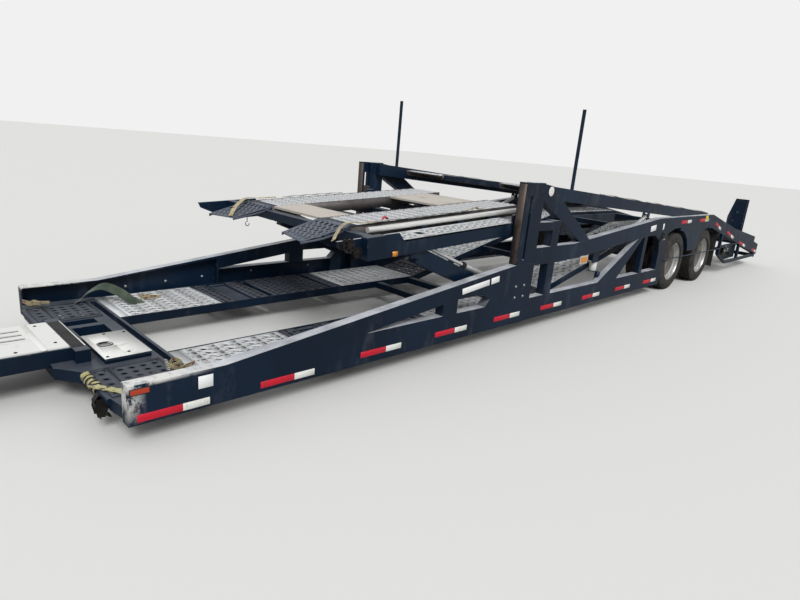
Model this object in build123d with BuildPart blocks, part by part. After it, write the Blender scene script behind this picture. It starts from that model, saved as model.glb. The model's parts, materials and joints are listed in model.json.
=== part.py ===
from build123d import *
import os
from math import asin, atan2, cos, degrees, hypot, radians, sin

os.makedirs("parts", exist_ok=True)

# Car transporter trailer, unhitched and standing on its wheels and landing legs.
# Millimetres. x runs forwards, y to the left and z up, and the ground is z = 0.
# A station is a distance back from the front corners of the side frames.

# Overall size
overall_length = 15100
overall_width = 2590
nose_length = 1900  # from the front corners forward to the nose of the tongue

# Side frames
lamp_stand = 8  # the marker lamps stand proud of the side frames by this much
frame_depth = 95  # across, from the outer face to the inner edge of the flanges
plate = 10  # web and flange thickness
rail_bottom = 150
rail_top = 400
nose_top = 410  # top of the side frame at its front corner
rise_station = 620  # where the top edge starts to rise
post_station = 3850  # front of the guide channel on the main post
post_foot = 790
post_top = 1630
guide_width = 150  # fore and aft, the worn channel in front of the post
post_width = 190
second_post_station = 4470
second_post_width = 140
second_post_top = 1230
front_chord_depth = 140
strut_station = 2760  # front edge of the upright in the front window
strut_width = 200
window_start = 1850
guard_width = 230

# Upper chord
chord_depth = 190
chord_low_top = 950
chord_high_top = 1172
chord_rise_start = 5000
chord_rise_end = 7450
chord_end = 9780
chord_low_corner = (5150, 775)  # where the chord's lower edge starts to climb
chord_high_corner = (6950, 925)
well_front_height = 935  # lower edge at the front of the wheel well
well_top = 1000  # underside of the chord over the wheels

# Rear ramp
ramp_end_top = 450
ramp_beam_depth = 225
kerb_rise = 150  # of the plate on the ramp's outer edge, at its rear end

# Wheels
axle_stations = (8330, 9640)
tyre_radius = 455
tyre_width = 255
dual_spacing = 330
tyre_outer_face = 1272
rim_radius = 286
rim_half = 105
spindle_radius = 45
running_clearance = 0.05
wheel_sides = 32
tyre_gap = 45  # from the tyres to the frame round them

# Lower deck
track_inner = 480
climb_track_outer = 1080
track_plate = 8
track_beam = 50
belly_top = 250
belly_start = 570
belly_end = 4200
belly_gap = (1700, 1890)  # no plate between the beams here
climb_end = 7550
over_wheel_top = 1000
track_depth = 85
wheel_track_depth = 50
nose_deck_top = 252
nose_deck_bottom = 170
nose_plate_top = 260
hatch_cover_top = 294
tongue_bottom = 225
tongue_top = 344
tongue_half = 316
tongue_cover_thickness = 10

# Rear upper deck, given in its own frame: u forwards and w upwards from its hinge pins
deck_hinge_station = 4120
deck_hinge_height = 1555
rear_deck_front = 60
rear_deck_rear = -5700
rear_deck_seat = 128  # its lowered rear end above the level tracks, on the hinge line
rear_rail_top = 62
rear_rail_depth = 145
rear_rail_outer = 1174
rear_rail_width = 76
rear_track_front = -430
rear_track_drop = 20  # wheel tracks below the top of the rails
hinge_pin_radius = 25
pin_clearance = 0.1
pole_radius = 20
pole_top = 2430

# Front upper deck, given in its own frame: u forwards and w upwards from its rear pins
front_hinge_station = 3925
front_hinge_height = 1250
front_deck_fall = 3.4  # degrees, down to the front
walkway_front = 1615
walkway_rear = -65
walkway_top = -30
walkway_outer = 1150
walkway_width = 250
deck_web_depth = 130
front_track_front = 1930
front_track_rear = -525
front_track_inner = 380
front_track_outer = 830
front_track_top = 68
front_track_depth = 120
front_pin_radius = 22
edge_tube_radius = 26
edge_tube_front = 1780

# Lift arms under the front upper deck: an arm pinned to the frame in a sleeve pinned to the deck
arm_foot_station = 3800
arm_foot_height = 470
arm_head_station = 2480
arm_head_height = 985
arm_y = 1070
arm_width = 76
arm_depth = 126
sleeve_wall = 8
sleeve_gap = 2
arm_pin_radius = 20
arm_length = 900
sleeve_start = 480

# Flaps on the rear ramp
flap_height = 775
flap_share = 0.708  # of the way down the ramp
flap_outer = 1172
flap_inner = 840
flap_thickness = 14
flap_knuckle = 16
flap_pin_radius = 10

# Rear deck cylinders
cylinder_foot_station = 5800
cylinder_foot_height = 700
cylinder_head_station = 7250
cylinder_head_drop = 375  # of its head pin below the deck's hinge
barrel_radius = 40
barrel_length = 1060
rod_radius = 25
eye_width = 50
eye_wall = 8
rod_gap = 0.5  # all round the rods in their barrels
head_play = 14  # free play round the pin at the rod's eye

front_x = overall_length / 2 - nose_length
ramp_end = overall_length - nose_length
half_width = overall_width / 2 - lamp_stand  # outer face of the side frames
frame_inner = half_width - frame_depth
post_rear = post_station + guide_width + post_width
front_axle, rear_axle = axle_stations
well_radius = tyre_radius + tyre_gap
rail_end = front_axle - well_radius
guard_front = rail_end - guard_width
ramp_length = ramp_end - chord_end
flap_station = chord_end + flap_share * ramp_length
cylinder_head_height = deck_hinge_height - cylinder_head_drop
rear_deck_fall = degrees(asin((deck_hinge_height - over_wheel_top - rear_deck_seat) / -rear_deck_rear))


def at(station):
    """Turns a station into x."""
    return front_x - station


def side_plane(y):
    """A sketch plane parallel to the side of the trailer; extruding goes inwards."""
    return Plane.XZ.offset(-y)


def in_view(points):
    return [(at(station), height) for station, height in points]


def save(piece, name):
    piece.label = name
    export_step(piece, f"parts/{name}.step")


def save_sides(piece, name):
    """Writes the left piece and its mirror image."""
    save(piece, name + "_left")
    save(mirror(piece, about=Plane.XZ), name + "_right")


def save_pair(piece, name):
    """Writes the left piece and its mirror image as one node."""
    save(Compound(children=[piece, mirror(piece, about=Plane.XZ)]), name)


def nose_edge(station):
    """Height of the sloping top edge of the front side frame."""
    share = (station - rise_station) / (post_station - rise_station)
    return nose_top + (post_foot - nose_top) * share


def chord_edge(station):
    """Height of the upper chord's top edge along its rise."""
    share = (station - chord_rise_start) / (chord_rise_end - chord_rise_start)
    return chord_low_top + (chord_high_top - chord_low_top) * share


def ramp_top(station):
    share = (station - chord_end) / (ramp_end - chord_end)
    return chord_high_top + (ramp_end_top - chord_high_top) * share


def outline_face(points, mode=Mode.ADD):
    """Fills one closed outline given as stations and heights, in the sketch that is open."""
    Polygon(*in_view(points), align=None, mode=mode)


def side_bar(outline, y_outer, width):
    """A solid bar parallel to the side of the trailer, from y_outer inwards."""
    with BuildPart() as bar:
        with BuildSketch(side_plane(y_outer)):
            outline_face(outline)
        extrude(amount=width)
    return bar.part


def channel(outline, pockets, windows=()):
    """A side member with its web outwards: the pockets leave the flanges standing."""
    with BuildPart() as member:
        with BuildSketch(side_plane(half_width)):
            outline_face(outline)
            for window in windows:
                outline_face(window, Mode.SUBTRACT)
        extrude(amount=frame_depth)
        with BuildSketch(side_plane(half_width - plate)):
            for pocket in pockets:
                outline_face(pocket)
        extrude(amount=frame_depth, mode=Mode.SUBTRACT)
    return member.part


def box_between(low, high):
    """An upright block between two corners given as (station, y, z)."""
    with BuildPart() as block:
        with Locations(((at(low[0]) + at(high[0])) / 2, (low[1] + high[1]) / 2, (low[2] + high[2]) / 2)):
            Box(abs(high[0] - low[0]), high[1] - low[1], high[2] - low[2])
    return block.part


# Front side frames, channel sections with two windows
window_low = rail_top + 10
strut_rear = strut_station + strut_width
slot_top = 545
slot_low_end = 3390  # the rear window narrows to a point
slot_point = (3460, 480)
slot_high_end = 3300
foot_pocket = 3550
nose_pocket_end = window_start - 2 * plate
front_window = [(window_start, window_low), (strut_station, window_low),
                (strut_station, nose_edge(strut_station) - front_chord_depth),
                (window_start, nose_edge(window_start) - front_chord_depth)]
rear_window = [(strut_rear, window_low), (slot_low_end, window_low), slot_point, (slot_high_end, slot_top),
               (strut_rear, slot_top)]
front_outline = [(0, rail_bottom), (0, nose_top), (rise_station, nose_top), (post_station, post_foot),
                 (post_rear, post_foot), (post_rear, rail_bottom)]
front_pockets = [
    [(plate, rail_bottom + plate), (plate, nose_top - plate), (rise_station, nose_top - plate),
     (nose_pocket_end, nose_edge(window_start) - 3 * plate), (nose_pocket_end, rail_bottom + plate)],
    [(window_start, rail_bottom + plate), (window_start, window_low - plate),
     (slot_low_end, window_low - plate), (slot_low_end, rail_bottom + plate)],
    [(foot_pocket, rail_bottom + plate), (foot_pocket, nose_edge(foot_pocket) - plate),
     (post_station, post_foot - plate),
     (post_rear - plate, post_foot - plate), (post_rear - plate, rail_bottom + plate)],
]
front_side = channel(front_outline, front_pockets, (front_window, rear_window))
save_pair(front_side, "front_sides")

# Lower rails behind the post
lower_rail = channel(
    [(post_rear, rail_bottom), (post_rear, rail_top), (rail_end, rail_top), (rail_end, rail_bottom)],
    [[(post_rear + plate, rail_bottom + plate), (post_rear + plate, rail_top - plate),
      (rail_end - plate, rail_top - plate), (rail_end - plate, rail_bottom + plate)]])
save_pair(lower_rail, "lower_rails")

# Main posts with their guide channels, second posts, ties and braces
guide_rear = post_station + guide_width
second_rear = second_post_station + second_post_width
tie_top = second_post_top - plate
tie_depth = 90
brace_foot = 5130
brace_reach = 212
brace_top = 4340
guide_wall = 20
guide_hollow = 70  # across, open towards the deck
guide_slot = 40  # through the outer wall, behind the wear strip
slot_low = 840
slot_high = 1500
post_pieces = [
    [(guide_rear, post_foot), (guide_rear, post_top), (post_rear, post_top), (post_rear, post_foot)],
    [(second_post_station, rail_top), (second_post_station, second_post_top),
     (second_rear, second_post_top), (second_rear, rail_top)],
    [(post_rear, tie_top - tie_depth), (post_rear, tie_top), (second_post_station, tie_top),
     (second_post_station, tie_top - tie_depth)],
    [(post_rear, chord_low_top - chord_depth), (post_rear, chord_low_top),
     (second_post_station, chord_low_top), (second_post_station, chord_low_top - chord_depth)],
]
brace_heel = brace_foot + brace_reach
brace = [(post_rear, post_top - 2 * tie_depth), (post_rear, post_top - plate),
         (brace_top, post_top - 3 * plate), (brace_heel, chord_edge(brace_heel)),
         (brace_foot, chord_edge(brace_foot))]
with BuildPart() as post:
    with BuildSketch(side_plane(half_width)):
        for outline in post_pieces:
            outline_face(outline)
        outline_face(brace)
    extrude(amount=frame_depth)
    with BuildSketch(Plane.XY.offset(post_foot)):
        with Locations((at(post_station + guide_width / 2), half_width - frame_depth / 2)):
            Rectangle(guide_width, frame_depth)
        with Locations((at(post_station + guide_width / 2), frame_inner + guide_hollow / 2)):
            Rectangle(guide_width - 2 * guide_wall, guide_hollow, mode=Mode.SUBTRACT)
    extrude(amount=post_top - post_foot)
    with Locations((at(guide_rear - guide_wall - guide_slot / 2), half_width - guide_wall,
                    (slot_low + slot_high) / 2)):
        Box(guide_slot, 3 * guide_wall, slot_high - slot_low, mode=Mode.SUBTRACT)
    with Locations(Location((at(deck_hinge_station), half_width, deck_hinge_height), (90, 0, 0))):
        Cylinder(hinge_pin_radius + pin_clearance, 3 * frame_depth, mode=Mode.SUBTRACT)
save_pair(post.part, "posts")

# Upper chords, from the second post back over the wheels
chord_toe = 120  # fore and aft, the foot at the chord's rear end
toe_height = well_top - 60
well_front = rail_end + 270
tab_front, tab_rear, tab_low = 5230, 5350, 690  # of the plate that carries the amber lamp
chord_outline = [(second_rear, chord_low_top - chord_depth), (second_rear, chord_low_top),
                 (chord_rise_start, chord_low_top), (chord_rise_end, chord_high_top),
                 (chord_end, chord_high_top), (chord_end, toe_height),
                 (chord_end - chord_toe, toe_height),
                 (chord_end - chord_toe, well_top), (well_front, well_top), (rail_end, well_front_height),
                 chord_high_corner, chord_low_corner]
chord_pocket = [(second_rear + plate, chord_low_top - chord_depth + plate),
                (second_rear + plate, chord_low_top - plate),
                (chord_rise_start, chord_low_top - plate), (chord_rise_end, chord_high_top - plate),
                (chord_end - plate, chord_high_top - plate), (chord_end - plate, well_top + plate),
                (well_front, well_top + plate), (rail_end, well_front_height + plate),
                (chord_high_corner[0], chord_high_corner[1] + plate),
                (chord_low_corner[0], chord_low_corner[1] + plate)]
with BuildPart() as upper_chord:
    add(channel(chord_outline, [chord_pocket]))
    with BuildSketch(side_plane(half_width)):
        outline_face([(tab_front, chord_low_top - chord_depth / 2), (tab_front, tab_low), (tab_rear, tab_low),
                      (tab_rear, chord_low_top - chord_depth / 2)])
    extrude(amount=plate)
save_pair(upper_chord.part, "upper_chords")

# Braces and guards ahead of the front wheels
guard_top = well_top - tyre_gap
stay_front = guard_front - 600
stay_width = 100
stay_rear = stay_front + stay_width
with BuildPart() as wheel_guard:
    with BuildSketch(side_plane(half_width)):
        for front, rear in ((stay_front, stay_rear), (guard_front, rail_end)):
            outline_face([(front, rail_top), (front, guard_top), (rear, guard_top), (rear, rail_top)])
        # A rounded corner ahead of the guard, and a brace down to the lower rail
        outline_face([(guard_front, guard_top), (guard_front - 370, guard_top),
                      (guard_front - 180, guard_top - 50), (guard_front - 60, guard_top - 130),
                      (guard_front, guard_top - 260)])
        outline_face([(stay_front - 1240, rail_top), (stay_front - 700, rail_top),
                      (stay_front - 10, guard_top), (stay_front - 120, guard_top)])
        outline_face(chord_outline, Mode.SUBTRACT)
    extrude(amount=frame_depth - 20)
save_pair(wheel_guard.part, "wheel_guards")

# Plates between the wheels, cut back round the tyres
hanger_low = 600
with BuildPart() as hanger_plate:
    with BuildSketch(side_plane(half_width)):
        outline_face([(front_axle, hanger_low), (front_axle, well_top), (rear_axle, well_top),
                      (rear_axle, hanger_low)])
        for station in axle_stations:
            with Locations((at(station), tyre_radius)):
                Circle(well_radius, mode=Mode.SUBTRACT)
    extrude(amount=frame_depth)
save_pair(hanger_plate.part, "hanger_plates")

# Rear ramp beams, each with a kerb plate that rises from its top edge towards the rear
ramp_outline = [(chord_end, ramp_top(chord_end) - ramp_beam_depth), (chord_end, chord_high_top),
                (ramp_end, ramp_end_top), (ramp_end, ramp_end_top - ramp_beam_depth)]
kerb_start = chord_end + 0.3 * ramp_length
kerb_outline = [(kerb_start, ramp_top(kerb_start) - ramp_beam_depth / 2), (kerb_start, ramp_top(kerb_start)),
                (ramp_end, ramp_end_top + kerb_rise), (ramp_end, ramp_end_top - ramp_beam_depth / 2)]
with BuildPart() as ramp_beam:
    add(side_bar(ramp_outline, half_width, frame_depth))
    add(side_bar(kerb_outline, frame_inner + plate, plate))
save_pair(ramp_beam.part, "ramp_beams")


def track(outline, y_inner, y_outer, depth):
    """A wheel track: a plate that follows the outline, with a beam under each edge."""
    lower = [(station, height - depth) for station, height in reversed(outline)]
    under = [(station, height - track_plate) for station, height in outline]
    with BuildPart() as piece:
        with BuildSketch(side_plane(y_outer)):
            outline_face(outline + lower)
        extrude(amount=y_outer - y_inner)
        with BuildSketch(side_plane(y_outer - track_beam)):
            outline_face(under + [(s, z - depth) for s, z in reversed(outline)])
        extrude(amount=y_outer - y_inner - 2 * track_beam, mode=Mode.SUBTRACT)
    return piece.part


# Lower tracks: the belly, the climb over the axles, the level part and the ramp
gap_front, gap_rear = belly_gap
with BuildPart() as belly_track:
    add(track([(belly_start, belly_top), (belly_end, belly_top)], track_inner, frame_inner, track_depth))
    add(box_between((gap_front, track_inner + track_beam, belly_top - track_depth),
                    (gap_rear, frame_inner - track_beam, belly_top + track_plate)), mode=Mode.SUBTRACT)
save_pair(belly_track.part, "belly_tracks")
save_pair(track([(belly_end, belly_top), (climb_end, over_wheel_top)], track_inner, climb_track_outer,
                track_depth), "climb_tracks")
save_pair(track([(climb_end, over_wheel_top), (chord_end, over_wheel_top)], track_inner, climb_track_outer,
                wheel_track_depth), "wheel_tracks")
ramp_track_end = ramp_end_top - 20
ramp_track_depth = 70
ramp_track = track([(chord_end, over_wheel_top), (ramp_end, ramp_track_end)], track_inner, frame_inner,
                   ramp_track_depth)
save_pair(ramp_track, "ramp_tracks")

# Nose: a low deck with wells under perforated plates, a tongue above it, kingpin and landing legs
well_front_edge, well_rear_edge = 130, 450
strip_front_edge, strip_rear_edge = 10, 105
plate_inner, plate_outer = 580, 1050
lip = 15  # that the plates lie on
groove_front, groove_rear = 495, 545
groove_depth = 50
front_tube_radius = 24
cross_front, cross_rear = -20, 75  # stations of the beam across the tongue's rear end
cross_half = 400
shoulder = -160  # station where the deck meets the tongue's sides
# The open pits on the right of the hatch: front and rear station, inner and outer y
pit_table = ((160, 400, -360, -150), (130, 380, -550, -430))
with BuildPart() as nose_deck:
    with BuildSketch(Plane.XY.offset(nose_deck_bottom)):
        with BuildLine():
            Polyline((at(belly_start), frame_inner), (at(0), frame_inner), (at(cross_front), plate_outer),
                     (at(cross_front), plate_inner), (at(shoulder), cross_half), (at(shoulder), -cross_half),
                     (at(cross_front), -plate_inner), (at(cross_front), -plate_outer), (at(0), -frame_inner),
                     (at(belly_start), -frame_inner), close=True)
        make_face()
    extrude(amount=nose_deck_top - nose_deck_bottom)
    for sign in (1, -1):
        with Locations(Location((at(cross_front), sign * (plate_inner + plate_outer) / 2,
                                 nose_deck_top - front_tube_radius), (90, 0, 0))):
            Cylinder(front_tube_radius, plate_outer - plate_inner)
        for front, rear in ((well_front_edge, well_rear_edge), (strip_front_edge, strip_rear_edge)):
            with Locations((at((front + rear) / 2), sign * (plate_inner + plate_outer) / 2, nose_deck_top)):
                Box(rear - front, plate_outer - plate_inner - 2 * lip, 3 * nose_deck_top, mode=Mode.SUBTRACT)
    for front, rear, inner, outer in pit_table:
        with Locations((at((front + rear) / 2), (inner + outer) / 2, nose_deck_top)):
            Box(rear - front, outer - inner, 3 * nose_deck_top, mode=Mode.SUBTRACT)
    with Locations((at((groove_front + groove_rear) / 2), 0, nose_deck_top)):
        Box(groove_rear - groove_front, 2 * plate_outer, 2 * groove_depth, mode=Mode.SUBTRACT)
save(nose_deck.part, "nose_deck")

nose_plates = Compound(children=[
    box_between((front - lip, plate_inner, nose_deck_top), (rear + lip, plate_outer, nose_plate_top))
    for front, rear in ((well_front_edge, well_rear_edge), (strip_front_edge, strip_rear_edge))])
save_pair(nose_plates, "nose_plates")

taper_station = -1300
tongue_nose_half = 220
with BuildPart() as tongue:
    with BuildSketch(Plane.XY.offset(tongue_bottom)):
        with BuildLine():
            Polyline((at(cross_rear), tongue_half), (at(taper_station), tongue_half),
                     (at(-nose_length), tongue_nose_half), (at(-nose_length), -tongue_nose_half),
                     (at(taper_station), -tongue_half), (at(cross_rear), -tongue_half), close=True)
        make_face()
    extrude(amount=tongue_top - tongue_bottom)
    add(nose_deck.part, mode=Mode.SUBTRACT)
    with Locations((at((cross_front + cross_rear) / 2), 0, (nose_deck_top + tongue_top) / 2)):
        Box(cross_rear - cross_front, 2 * cross_half, tongue_top - nose_deck_top)
save(tongue.part, "tongue")

kingpin_station = -1550
coupler_radius = 200
coupler_thickness = 10
kingpin_head_radius = 35.7
kingpin_neck_radius = 25.4
kingpin_shoulder = 35  # heights of the shoulder, the neck that the jaws close on and the foot
kingpin_neck = 31
kingpin_foot = 18
with BuildPart() as kingpin:
    with BuildSketch(Plane.XY.offset(tongue_bottom)):
        with Locations((at(kingpin_station), 0)):
            Circle(coupler_radius)
    extrude(amount=-coupler_thickness)
    pin_top = tongue_bottom - coupler_thickness
    for radius, drop, height in ((kingpin_head_radius, 0, kingpin_shoulder),
                                 (kingpin_neck_radius, kingpin_shoulder, kingpin_neck),
                                 (kingpin_head_radius, kingpin_shoulder + kingpin_neck, kingpin_foot)):
        with BuildSketch(Plane.XY.offset(pin_top - drop)):
            with Locations((at(kingpin_station), 0)):
                Circle(radius)
        extrude(amount=-height)
save(kingpin.part, "kingpin")

# Covers on the tongue: a plain plate at its rear, then a slotted board and a plain board side by side
board_front, board_rear = -1250, -200
slot_width = 38
slot_pitch = 95
slot_margin = 30
slot_count = 3
board_split = 65  # y of the joint between the two boards
tongue_top_plate = tongue_top + tongue_cover_thickness
tongue_plate = box_between((-160, -tongue_half + lip, tongue_top), (-30, tongue_half - lip, tongue_top_plate))
plain_board = box_between((board_front, board_split, tongue_top),
                          (board_rear, tongue_half - lip, tongue_top_plate))
with BuildPart() as slotted_board:
    add(box_between((board_front, -tongue_half + lip, tongue_top),
                    (board_rear, board_split - 5, tongue_top_plate)))
    with Locations((at((board_front + board_rear) / 2), board_split - 1.6 * slot_pitch, tongue_top)):
        with GridLocations(1, slot_pitch, 1, slot_count):
            Box(board_rear - board_front - 2 * slot_margin, slot_width, 3 * tongue_cover_thickness,
                mode=Mode.SUBTRACT)
save(Compound(children=[tongue_plate, plain_board, slotted_board.part]), "tongue_cover")

hatch_cover = box_between((130, -30, nose_deck_top), (450, 510, hatch_cover_top))
save(hatch_cover, "hatch_cover")

leg_station = (well_front_edge + well_rear_edge) / 2
leg_y = (plate_inner + plate_outer) / 2
leg_size = 90
foot_size = 220
foot_thickness = 12
with BuildPart() as landing_leg:
    with Locations((at(leg_station), leg_y, (nose_deck_top + foot_thickness) / 2)):
        Box(leg_size, leg_size, nose_deck_top - foot_thickness)
    with Locations((at(leg_station), leg_y, foot_thickness / 2)):
        Box(foot_size, foot_size, foot_thickness)
save_pair(landing_leg.part, "landing_legs")

# Cross members that tie the two side frames
cross_width = 80
cross_depth = 70
climb_slope = (over_wheel_top - belly_top) / (climb_end - belly_end)
# Rear edge of each, and the height of its top
cross_table = ((3640, belly_top - 15), (belly_end, belly_top - 15),
               (5680, belly_top + climb_slope * (5680 - belly_end) - 20),
               (climb_end, over_wheel_top - 10), (chord_end, over_wheel_top - wheel_track_depth))
cross_members = [box_between((rear - cross_width, -track_inner, top - cross_depth), (rear, track_inner, top))
                 for rear, top in cross_table]
save(Compound(children=cross_members), "cross_members")

# Axles with their spindles, and the springs and seats that carry them
axle_radius = 64
axle_half = 560
spindle_end = tyre_outer_face - 150
with BuildPart() as axles:
    for station in axle_stations:
        with Locations(Location((at(station), 0, tyre_radius), (90, 0, 0))):
            Cylinder(axle_radius, 2 * axle_half)
            Cylinder(spindle_radius, 2 * spindle_end)
save(axles.part, "axles")

spring_y = 470
spring_half = 45
seat_half = 70
spring_low = 620
spring_high = 690
hanger_top = 780
spring_overhang = 630  # of the springs beyond the axles
hanger_half = 60
seat_top = tyre_radius + axle_radius
carrier_top = over_wheel_top - wheel_track_depth
spring_front = front_axle - spring_overhang
spring_rear = rear_axle + spring_overhang - 120
hanger_stations = (spring_front + 100, (front_axle + rear_axle) / 2, spring_rear - 100)
with BuildPart() as suspension:
    for station in axle_stations:
        add(box_between((station - seat_half, spring_y - spring_half, seat_top),
                        (station + seat_half, spring_y + spring_half, spring_low)))
    add(box_between((spring_front, spring_y - spring_half + 5, spring_low),
                    (spring_rear, spring_y + spring_half - 5, spring_high)))
    for station in hanger_stations:
        add(box_between((station - hanger_half, spring_y - spring_half, spring_high),
                        (station + hanger_half, spring_y + spring_half, hanger_top)))
    add(box_between((spring_front - hanger_half, spring_y - spring_half, hanger_top),
                    (chord_end - 90, spring_y + spring_half, carrier_top)))
save_pair(suspension.part, "suspension")

# Twin wheels: two rims whose dished discs meet on one hub with its drum, and their two tyres
outer_centre = tyre_outer_face - tyre_width / 2
inner_centre = outer_centre - dual_spacing
disc_plane = (outer_centre + inner_centre) / 2
disc_thickness = 12
disc_radius = 205  # where the flat disc turns into the dish
dish_reach = 60  # from the rim's centre to where the dish meets its bore
rim_bore = rim_radius - 18
drum_radius = 200
hub_radius = 110
cap_radius = 80
cap_end = disc_plane + 150
hand_holes = 8
hand_hole_radius = 27
hand_hole_circle = 158
wheel_plane = Plane(origin=(at(front_axle), 0, tyre_radius), x_dir=(1, 0, 0), z_dir=(0, 1, 0))


def wheel_body(sections, sides=wheel_sides):
    """A straight-sided solid round the front axle through sections given as y and radius at the corners."""
    with BuildPart() as body:
        for y, radius in sections:
            with BuildSketch(wheel_plane.offset(y)):
                RegularPolygon(radius, sides)
        loft(ruled=True)
    return body.part


def both_ways(centre, half):
    """The sections of a ring about its centre, from its half given as offsets outwards and radii."""
    return [(centre - offset, radius) for offset, radius in reversed(half)] + [
        (centre + offset, radius) for offset, radius in half]


tyre_shell = [(tyre_width / 2 - 22, tyre_radius), (tyre_width / 2, 368)]
tyre_bore = [(80, rim_radius - 3.5), (90, rim_radius + 13), (tyre_width / 2 + 2, 352)]
rim_shell = [(rim_half - 22, rim_radius - 4), (rim_half - 12, rim_radius + 12), (rim_half, rim_radius + 12)]
with BuildPart() as tyres:
    for centre in (outer_centre, inner_centre):
        add(wheel_body(both_ways(centre, tyre_shell)))
        add(wheel_body(both_ways(centre, tyre_bore)), mode=Mode.SUBTRACT)

with BuildPart() as rims:
    for sign, centre in ((1, outer_centre), (-1, inner_centre)):
        add(wheel_body(both_ways(centre, rim_shell)))
        add(wheel_body([(centre - 1.2 * rim_half, rim_bore), (centre + 1.2 * rim_half, rim_bore)]),
            mode=Mode.SUBTRACT)
        dish_edge = centre - sign * dish_reach
        add(wheel_body([(disc_plane - sign * disc_thickness, disc_radius), (dish_edge, rim_bore + 6)]))
        add(wheel_body([(disc_plane + sign * disc_thickness, disc_radius - 8), (dish_edge, rim_bore - 4)]),
            mode=Mode.SUBTRACT)
    # Drum, hub and cap
    for low, high, radius, top_radius, sides in (
            (inner_centre - rim_half, inner_centre + dish_reach, drum_radius, drum_radius, wheel_sides),
            (inner_centre, disc_plane + 40, hub_radius, hub_radius, wheel_sides // 2),
            (disc_plane, cap_end, cap_radius, cap_radius - 6, wheel_sides // 2)):
        add(wheel_body([(low, radius), (high, top_radius)], sides))
    with BuildSketch(wheel_plane.offset(disc_plane - 3 * disc_thickness)):
        with PolarLocations(hand_hole_circle, hand_holes):
            RegularPolygon(hand_hole_radius, 8)
    extrude(amount=6 * disc_thickness, mode=Mode.SUBTRACT)
    with Locations(Location((at(front_axle), spindle_end - axle_half, tyre_radius), (90, 0, 0))):
        Cylinder(spindle_radius + running_clearance, 2 * axle_half, mode=Mode.SUBTRACT)

for label, station in zip(("front", "rear"), axle_stations):
    to_axle = Location((front_axle - station, 0, 0))
    save_sides(tyres.part.moved(to_axle), f"tyres_{label}")
    save_sides(rims.part.moved(to_axle), f"rims_{label}")

# Rear bumper with its side bars and hangers under the ramp, and the tail lamps
bumper_low = 175
bumper_depth = 68
bumper_station = ramp_end - 140
bumper_bar = 50
bar_low = bumper_low + 18
bar_high = bumper_low + bumper_depth
cradle_front = chord_end + 0.225 * ramp_length
cradle_rear = chord_end + 0.605 * ramp_length
cradle_knee = cradle_front + 0.42 * (cradle_rear - cradle_front)
cradle_floor = 400  # height of its floor at the front
cradle_top = 560
side_rod_radius = 9
side_rod_height = 525
above_ramp = [ramp_outline[0], (chord_end, 2 * chord_high_top), (ramp_end, 2 * chord_high_top),
              ramp_outline[3]]
stay_in, stay_out = cradle_front + bumper_bar, cradle_rear - bumper_bar
with BuildPart() as underrun_bar:
    with BuildSketch(side_plane(half_width)):
        outline_face([(cradle_front, cradle_floor), (cradle_front, chord_high_top),
                      (cradle_rear, chord_high_top), (cradle_rear, bar_high), (bumper_station, bar_high),
                      (bumper_station, bar_low), (cradle_knee, bar_low)])
        outline_face([(stay_in, cradle_floor + plate), (stay_in, cradle_top - plate),
                      (stay_out, cradle_top - plate), (stay_out, bar_high), (cradle_knee, bar_high)],
                     Mode.SUBTRACT)
        outline_face([(stay_in, cradle_top + plate), (stay_in, chord_high_top), (stay_out, chord_high_top),
                      (stay_out, cradle_top + plate)], Mode.SUBTRACT)
        outline_face(above_ramp, Mode.SUBTRACT)
    extrude(amount=bumper_bar)
    # A thin rod past the wheels, from the guard to the cradle
    with Locations(Location((at((rail_end + cradle_front + plate) / 2), overall_width / 2 - side_rod_radius,
                             side_rod_height), (0, 90, 0))):
        Cylinder(side_rod_radius, cradle_front + plate - rail_end)
save_pair(underrun_bar.part, "underrun_bars")

mudflap_station = rear_axle + tyre_radius + 215
mudflap_thickness = 8
mudflap_low = 210
with BuildPart() as mudflap:
    with BuildSketch(side_plane(tyre_outer_face - 5)):
        outline_face([(mudflap_station, mudflap_low), (mudflap_station, chord_high_top),
                      (mudflap_station + mudflap_thickness, chord_high_top),
                      (mudflap_station + mudflap_thickness, mudflap_low)])
        outline_face(above_ramp, Mode.SUBTRACT)
    extrude(amount=tyre_width + dual_spacing - 5)
save_pair(mudflap.part, "mudflaps")

with BuildPart() as bumper:
    with Locations((at(bumper_station + bumper_bar / 2), 0, (bumper_low + bar_high) / 2)):
        Box(bumper_bar, 2 * half_width, bumper_depth)
    with BuildSketch(side_plane(half_width)):
        outline_face([(bumper_station, bar_high), (bumper_station, ramp_end_top),
                      (bumper_station + bumper_bar, ramp_end_top), (bumper_station + bumper_bar, bar_high)])
        outline_face(ramp_outline, Mode.SUBTRACT)
    extrude(amount=bumper_bar)
    mirror(about=Plane.XZ)
save(bumper.part, "rear_bumper")

lamp_radius = 32
lamp_depth = 24
with BuildPart() as tail_lamp:
    for y in (650, 800, 950):
        with Locations(Location((at(bumper_station + bumper_bar + lamp_depth / 2), y,
                                 (bumper_low + bar_high) / 2), (0, 90, 0))):
            Cylinder(lamp_radius, lamp_depth)
save_pair(tail_lamp.part, "tail_lamps")

# Marker lamps and the round reflector on each side: station, height, length, depth
marker_table = ((10, 352, 120, 28), (5235, 702, 110, 65))
reflector_station = 4310
reflector_height = 1546
reflector_radius = 40
with BuildPart() as markers:
    for station, height, length, depth in marker_table:
        with Locations((at(station + length / 2), half_width + lamp_stand / 2, height + depth / 2)):
            Box(length, lamp_stand, depth)
    with Locations(Location((at(reflector_station), half_width + lamp_stand / 2, reflector_height),
                            (90, 0, 0))):
        Cylinder(reflector_radius, lamp_stand)
save_pair(markers.part, "marker_lamps")

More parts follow.
